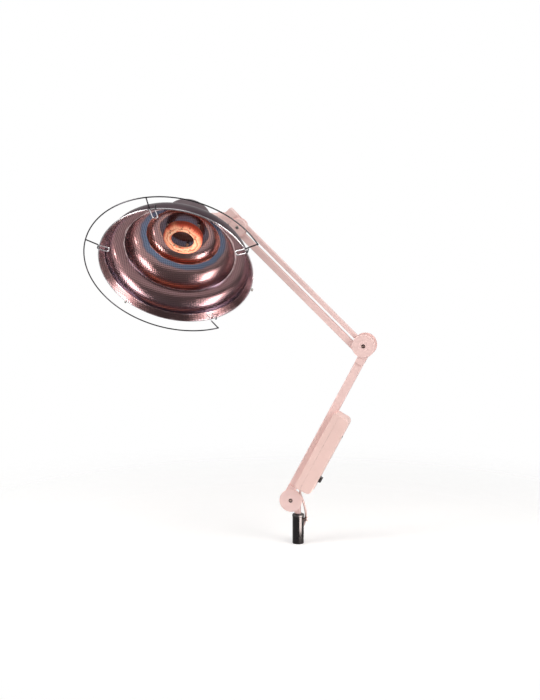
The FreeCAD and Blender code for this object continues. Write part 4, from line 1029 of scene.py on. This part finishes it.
# colours of the anodised sheet at distances along it from the centre, in metres: its own tint with painted
# light laid in
# the bright lines at the ridges are painted highlights, the orange band by the heater is a painted reflection
# of its glow, and the dark and bluish bands are painted shade and painted reflection over heat tint
sheetTonesAndLight = {"length": 0.22, "cloud": 26.0, "sway": 0.0025, "roughness": (0.17, 0.27), "stops": [
    (0.000, (100, 98, 118)), (0.030, (88, 82, 100)), (0.0500, (92, 76, 84)), (0.0530, (198, 150, 140)),
    (0.0555, (158, 126, 127)), (0.0700, (158, 122, 121)), (0.0820, (188, 136, 122)),
    (0.0850, (232, 160, 138)), (0.0870, (98, 112, 140)), (0.0925, (104, 118, 144)),
    (0.0975, (98, 106, 128)), (0.1000, (140, 111, 114)), (0.1020, (156, 124, 124)),
    (0.1230, (146, 111, 112)), (0.1425, (152, 120, 122)), (0.1445, (216, 192, 193)),
    (0.1468, (216, 192, 193)), (0.1490, (134, 102, 104)), (0.1700, (142, 110, 112)),
    (0.1860, (140, 114, 120)), (0.1960, (124, 120, 142)), (0.2010, (128, 122, 144)),
    (0.2025, (172, 144, 147)), (0.2045, (116, 87, 88)), (0.2150, (118, 89, 90)), (0.2183, (168, 146, 150))]}


def sheetFinish():
    finish, tree, shader = newFinish("anodisedSheet", Metallic=1.0, Coat_Weight=0.35, Coat_Roughness=0.12)
    spot = put(tree, "UVMap", uv_map="unrolled").outputs["UV"]
    whole, sway = take(sheetTonesAndLight, "length sway")
    cloud = noise(tree, spot, sheetTonesAndLight["cloud"], 4.0)
    reach = calc(tree, "ADD", length(tree, spot), remap(tree, cloud, *noiseSpan, -sway, sway))
    # the ramp lays the tint with its painted highlights, shade and reflection along the sheet
    stops = [(place / whole, tone(*colour)) for place, colour in sheetTonesAndLight["stops"]]
    colour = ramp(tree, calc(tree, "DIVIDE", reach, whole), stops)
    skin = put(tree, "Group", {"Pitch": dish["dimple"], "Depth": dish["dimpleDepth"]},
               node_tree=dimpleGroup).outputs
    # each dimple's hollow is darkened and its rim lightened: painted shade and a painted highlight
    pit = remap(tree, skin["Hollow"], 0.0, 1.0, *dish["pit"])
    feed(tree, shader.inputs, Base_Color=scaled(tree, colour, pit), Normal=skin["Normal"],
         Roughness=remap(tree, cloud, *noiseSpan, *sheetTonesAndLight["roughness"]))
    return finish


anodisedSheet = sheetFinish()
sheetOutside = painted("sheetOutside", (66, 50, 57), 0.12, 0.42, 0.4, 700.0, 0.2, Metallic=0.35)
capPlastic = painted("capPlastic", (92, 78, 83), 0.08, 0.45, 0.4, 1500.0, 0.15)


def reflector():
    rim, sheet, lip = take(dish, "rim sheet lip")
    inside, outside = dishLine(0, 0), dishLine(dish["step"], sheet)
    edge = [(rim - sheet, sheet / 2)]
    edge += arc((rim - sheet, sheet / 2), (rim - sheet / 2, 0), (rim, sheet / 2), 6)
    edge += [(rim, lip), (rim - sheet / 2, lip)]
    piece = spun("reflector", inside + edge + outside[::-1], 192)
    softened(piece, dish["arris"], 2, 24)
    mouth = inside + [(rim - sheet, 0)]
    unrolled(piece, mouth)

    def isOutside(face):
        radius = math.hypot(face.center.x, face.center.y)
        return onLine(radius, face.center.z, mouth)[0] >= sheet * 0.42 and radius <= rim - sheet

    twoFinishes(piece, anodisedSheet, sheetOutside, isOutside)
    settled(piece, headPlace, "head", anodisedSheet, "reflector", 32)


reflector()
print("reflector spun")

# cap behind the reflector
cap = {"radius": 0.047, "wall": 0.0015, "start": 0.1062, "end": 0.159, "round": 0.010, "hole": 0.00605,
       "rimRounds": (0.0002, 0.0005)}


def rearCap():
    radius, wall, start, end, turn = take(cap, "radius wall start end round")
    inner = radius - wall
    line = [(inner, start), (radius, start), (radius, end), (0, end), (0, end - wall), (inner, end - wall)]
    shell = spun("rearCap", rounded(line, [*cap["rimRounds"], turn, 0, 0, turn - wall], 8), 128)
    drilled(shell, (radius, 0, stance["tiltDepth"]), (1, 0, 0), cap["hole"], depth=0.02)
    settled(shell, headPlace, "head", capPlastic, "rear_cap")


rearCap()

# ceramic heater with its glow; heat runs from the bore to the outside, and slope, marks and wall
# hold what a value runs between, then the brightness there
heater = {"bore": 0.0236, "backBore": 0.034, "radius": 0.0405, "front": 0.078, "back": 0.094, "lip": 0.0035,
          "groove": 0.0009, "track": 0.48, "glow": 1.15, "unlit": 0.35,
          "rounds": [0.0016, 0.0005, 0.0003, 0.0003, 0.0005, 0.0048, 0.0008, 0.0008, 0.0008],
          "heat": [(0.0, (226, 112, 80)), (0.2, (255, 204, 164)), (0.36, (248, 168, 128)),
                   (0.45, (196, 84, 58)), (0.54, (254, 188, 148)), (0.78, (246, 150, 112)),
                   (1.0, (196, 78, 56))],
          "cloud": 55.0, "clouding": 0.22, "slope": (-0.045, 0.04, 0.58, 1.22), "spokes": 46.0,
          "spokeTones": (0.88, 1.06), "mark": 120.0, "marks": (0.6, 0.67, 1.0, 0.2),
          "wall": (0.0008, 0.009, 1.0, 0.38), "post": 0.003, "posts": 3, "standoff": 0.011}


def heaterFinish():
    finish, tree, shader = newFinish("glowingCeramic", Roughness=0.7, Emission_Strength=heater["glow"])
    middle, turn = headPlace @ Vector((0, 0, heater["front"])), headPlace.to_euler()
    local = put(tree, "Mapping", {"Vector": objectSpot(tree), "Location": tuple(middle),
                                  "Rotation": tuple(turn)}, vector_type="TEXTURE").outputs[0]
    flat = put(tree, "VectorMath", {0: local, 1: (1, 1, 0)}, operation="MULTIPLY").outputs[0]
    share = remap(tree, length(tree, flat), heater["bore"], heater["radius"])
    x, y, z = put(tree, "SeparateXYZ", {0: local}).outputs
    cloud, most = noise(tree, local, heater["cloud"], 5.0), heater["clouding"]
    cloud = remap(tree, cloud, *noiseSpan, -most, most)
    stops = [(place, tone(*colour)) for place, colour in heater["heat"]]
    warm = ramp(tree, calc(tree, "ADD", share, cloud), stops)
    # brighter towards the lower right
    slope = remap(tree, calc(tree, "ADD", x, y), *heater["slope"])
    # the winding's turns show as faint spokes, and a few as dark marks
    spokes = calc(tree, "SINE", calc(tree, "MULTIPLY", calc(tree, "ARCTAN2", y, x), heater["spokes"]))
    spokes = remap(tree, spokes, -1.0, 1.0, *heater["spokeTones"])
    marks = remap(tree, noise(tree, local, heater["mark"], 2.0), *heater["marks"])
    # the outer wall is cooler than the face
    wall = remap(tree, z, *heater["wall"])
    face = calc(tree, "MULTIPLY", calc(tree, "MULTIPLY", spokes, marks), wall)
    warm = scaled(tree, warm, calc(tree, "MULTIPLY", face, slope))
    feed(tree, shader.inputs, Base_Color=scaled(tree, warm, heater["unlit"]), Emission_Color=warm,
         Normal=bumped(tree, 0.5, 0.0004, face))
    return finish


glowingCeramic = heaterFinish()


def heaterPieces():
    bore, backBore, radius, front, back = take(heater, "bore backBore radius front back")
    deep = front + heater["groove"]
    track = bore + (radius - bore) * heater["track"]
    line = [(bore, front), (track - 0.0012, front), (track - 0.0005, deep), (track + 0.0005, deep),
            (track + 0.0012, front), (radius, front), (radius, back), (backBore, back),
            (bore, front + heater["lip"])]
    lathed("heater_ring", rounded(line, heater["rounds"], 7), 128, headPlace, "head", glowingCeramic, 50)
    post, tall = take(heater, "post standoff")
    waist = post * 0.74
    spool = rounded([(0, 0), (post, 0), (post, 0.0016), (waist, 0.0028), (waist, tall - 0.0028),
                     (post, tall - 0.0016), (post, tall), (0, tall)],
                    [0, 0.0003, 0.0004, 0.0006, 0.0006, 0.0004, 0.0003, 0], 3)
    for number in range(heater["posts"]):
        angle = math.pi / 2 + math.tau * number / heater["posts"]
        away = (backBore + radius) / 2
        place = headPlace @ shift(away * math.cos(angle), away * math.sin(angle), back)
        lathed("heater_posts", spool, 32, place, "head", whiteCeramic, name=f"heaterPost{number + 1}")
    screwHead("backScrew", 0.004, 0.002, headPlace @ shift(z=dish["depth"]) @ turned(180, "X"), "head",
              darkSteel, "back_screw")


heaterPieces()
print("heater made")

# wire guard, which is also the handle; open holds the angles of the ring's ends,
# and a hook is its angle and the side that its outer leg is on
guard = {"ring": 0.189, "depth": 0.003, "wire": 0.00135, "rimRing": 0.15895, "rimWire": 0.0009,
         "rimDepth": 0.0016, "hooks": ((341.5, 1), (262.5, 1), (69, -1), (200, -1)), "ringEnd": 0.18735,
         "outer": 0.1615, "tip": 0.1385, "half": 0.0055, "front": -0.00165, "end": 0.009, "bend": 0.0025,
         "open": (69, 341.5), "steps": 200, "bead": 0.0019, "beadInset": 0.0009, "beadShape": (1, 1.15, 0.85),
         "clips": (139.5, 22.5), "clip": 0.0022, "clipLength": 0.005, "clipGap": 0.00005}


def bentLine(points, bend, count=5):
    # straight runs joined by bends of one radius
    line = [tuple(points[0])]
    for before, corner, after in zip(points, points[1:], points[2:]):
        corner = Vector(corner)
        inward = (Vector(before) - corner).normalized()
        outward = (Vector(after) - corner).normalized()
        half = inward.angle(outward) / 2
        centre = corner + (inward + outward).normalized() * bend / math.sin(half)
        start = (corner + inward * bend / math.tan(half) - centre).normalized()
        end = (corner + outward * bend / math.tan(half) - centre).normalized()
        line += [tuple(centre + start.slerp(end, step / count) * bend) for step in range(count + 1)]
    return line + [tuple(points[-1])]


def openRing():
    # the ring is open at the lower right, and both its ends run into hooks
    radius, steps = take(guard, "ring steps")
    past = math.asin((guard["half"] - guard["wire"]) / radius)
    first, last = (math.radians(angle) for angle in guard["open"])
    first, last = first + past, last - past
    angles = [first + (last - first) * step / steps for step in range(steps + 1)]
    line = [(radius * math.cos(angle), radius * math.sin(angle), guard["depth"]) for angle in angles]
    return roundWire(drawLine("guardRing", line), guard["wire"], 4)


def guardHook(number, turn, half):
    # from the ring in to the rim, round a narrow bow and back behind the rim
    tip, outer, front = take(guard, "tip outer front")
    corners = [(guard["ringEnd"], -half, guard["depth"]), (outer, -half, front), (tip, -half, front),
               (tip, half, front), (outer, half, front), (outer, half, guard["end"])]
    hook = roundWire(drawLine(f"guardHook{number}", bentLine(corners, guard["bend"])), guard["wire"])
    # the loops inside the rim take the bright chrome as a painted highlight, the legs the dark chrome as
    # painted dark reflection
    twoFinishes(hook, shadedChrome, litChrome, lambda face: face.center.x < outer - guard["bend"])
    settled(hook, headPlace @ turn, "head", shadedChrome, "guard_hooks", 50)


def weldBead(number, turn, half):
    begin()
    place = turn @ Vector((guard["ring"] - guard["beadInset"], -half, guard["depth"]))
    bpy.ops.mesh.primitive_uv_sphere_add(segments=24, ring_count=14, radius=guard["bead"], location=place,
                                         scale=guard["beadShape"])
    return called(f"weldBead{number}")


def guardPieces():
    ring = openRing()
    beads = []
    for number, (angle, side) in enumerate(guard["hooks"], 1):
        guardHook(number, turned(angle, "Z"), guard["half"] * side)
        beads.append(weldBead(number, turned(angle, "Z"), guard["half"] * side))
    joined(ring, beads)
    begin()
    bpy.ops.mesh.primitive_torus_add(major_segments=224, minor_segments=14, major_radius=guard["rimRing"],
                                     minor_radius=guard["rimWire"], location=(0, 0, guard["rimDepth"]))
    # the ring takes the dark chrome as painted dark reflection, the rim wire the bright chrome as a painted
    # highlight
    for piece, finish, node in ((ring, shadedChrome, "guard_ring"), (called("rimWire"), litChrome, "rim_wire")):
        shaded(piece, 60)
        settled(piece, headPlace, "head", finish, node, 0)
    away = guard["rimRing"] + guard["rimWire"] + guard["clip"] + guard["clipGap"]
    radius, long = take(guard, "clip clipLength")
    ferrule = rounded([(0, 0), (radius, 0), (radius, long * 0.4), (radius * 0.84, long * 0.5),
                       (radius, long * 0.6), (radius, long), (0, long)],
                      [0, 0.0006, 0.0003, 0.0003, 0.0003, 0.0006, 0], 4)
    for number, angle in enumerate(guard["clips"], 1):
        place = headPlace @ turned(angle, "Z") @ shift(away, 0, guard["rimDepth"] - long / 2)
        lathed("rim_clips", ferrule, 32, place, "head", zinc, 50, f"rimClip{number}")


guardPieces()
print("guard bent")

# smaller pieces, most of them out of sight
smallPieces = {
    "supply_connector": ("column", greyPlastic), "base_washers": ("lower_arm", zinc),
    "elbow_spacers": ("lower_arm", zinc), "lower_bar_pin": ("lower_arm", zinc),
    "switch_body": ("lower_arm", blackPlastic), "terminal_block": ("lower_arm", ivoryPlastic),
    "fuse_holder": ("lower_arm", blackPlastic), "link_pins": ("head_link", zinc),
    "tilt_clamp_screw": ("head_link", pinkEnamel), "tilt_spindle": ("head", zinc),
    "spindle_collar": ("head", pinkEnamel), "head_yoke": ("head", zinc), "spindle_clip": ("head", darkSteel),
    "head_terminals": ("head", ivoryPlastic),
}
for node, (body, finish) in smallPieces.items():
    softCopy(node, body, finish)
print("small pieces finished")

# floor, studio and lights
studio = {
    "floor": 0.93, "grain": 0.985, "floorLift": 0.26, "floorReach": 0.4, "floorFade": 0.7, "ambient": 0.42,
    "roomTone": 0.2, "room": (-0.05, 0.5),
    "aims": {"head": headPlace @ Vector((0, 0, 0.05)), "column": Vector((0, 0, 0.04))},
    "lamps": (
        # name, piece it is aimed at, place seen from there, size, watts, colour, seen by matt and by mirror
        ("rightBank", "head", (62, 12, 1.5), (0.9, 1.1), 9, (255, 250, 246), True, False),
        ("leftBank", "head", (-50, 24, 1.5), (0.9, 1.1), 9, (255, 250, 246), True, False),
        ("topBank", "head", (-10, 68, 2.2), (1.8, 1.8), 20, (255, 252, 250), True, True),
        ("rightCard", "head", (68, 0, 1.35), (0.5, 1.35), 27, (255, 250, 246), False, True),
        ("leftCard", "head", (-46, 7, 1.35), (0.42, 1.3), 22, (255, 250, 246), False, True),
        ("lowCard", "column", (58, -7.6, 0.12), (0.1, 0.05), 0.7, (255, 236, 230), False, True),
    ),
}


def makeFloor():
    begin()
    bpy.ops.mesh.primitive_plane_add(size=12)
    floor = called("studioFloor")
    finish, tree, shader = newFinish("floorPaper", Roughness=0.85)
    spot = objectSpot(tree)
    grain = noise(tree, spot, 240.0, 4.0)
    pale = studio["floor"]
    stops = [(place, (*[pale * share] * 3, 1)) for place, share in zip(noiseSpan, (studio["grain"], 1))]
    feed(tree, shader.inputs, Base_Color=ramp(tree, grain, stops), Normal=bumped(tree, 0.1, 0.0002, grain))
    fade = remap(tree, length(tree, spot), studio["floorReach"], studio["floorReach"] + studio["floorFade"],
                 interpolation_type="SMOOTHSTEP")
    # a little lift for the camera alone keeps the paper white round the shadow
    lift = calc(tree, "MULTIPLY", put(tree, "LightPath").outputs["Is Camera Ray"], studio["floorLift"])
    glow = put(tree, "Emission", {"Color": (1, 1, 1, 1), "Strength": lift})
    paper = put(tree, "AddShader", {0: shader.outputs["BSDF"], 1: glow.outputs[0]})
    clear = put(tree, "BsdfTransparent")
    mixed = put(tree, "MixShader", {0: fade, 1: paper.outputs[0], 2: clear.outputs[0]})
    feed(tree, tree.nodes["Material Output"].inputs, Surface=mixed.outputs[0])
    floor.data.materials.append(finish)


def makeWorld():
    world = bpy.data.worlds.new("studioWorld")
    world.use_nodes = True
    tree = world.node_tree
    tree.nodes.clear()
    # white for what the camera, a mirror or glass sees
    path = put(tree, "LightPath").outputs
    white = calc(tree, "MAXIMUM", path["Is Camera Ray"], path["Is Glossy Ray"])
    white = calc(tree, "MAXIMUM", white, path["Is Transmission Ray"])
    behind = put(tree, "SeparateXYZ", {0: put(tree, "TexCoord").outputs["Generated"]}).outputs["Y"]
    # the room beside and behind the camera is dim, which gives wires and sheet their dark lines
    dim = remap(tree, behind, *studio["room"], studio["roomTone"], 1.0, interpolation_type="SMOOTHSTEP")
    strength = put(tree, "Mix", {0: white, 2: studio["ambient"], 3: dim}).outputs[0]
    strength = put(tree, "Mix", {0: path["Is Camera Ray"], 2: strength, 3: 1.0}).outputs[0]
    sky = put(tree, "Background", {"Color": (1, 1, 1, 1), "Strength": strength})
    put(tree, "OutputWorld", {"Surface": sky.outputs[0]})
    bpy.context.scene.world = world


def makeLights():
    for name, aim, (turn, lift, away), size, watts, colour, matt, mirror in studio["lamps"]:
        towards = direction(turn, lift)
        data = bpy.data.lights.new(name, "AREA")
        data.shape = "RECTANGLE"
        data.size, data.size_y = size
        data.energy = watts
        data.color = tone(*colour)[:3]
        lamp = stood(name, data, studio["aims"][aim] + towards * away, towards)
        lamp.visible_camera = False
        lamp.visible_diffuse = matt
        lamp.visible_glossy = mirror


makeFloor()
makeWorld()
makeLights()
bpy.context.scene.view_settings.view_transform = "Standard"
print("studio lit")
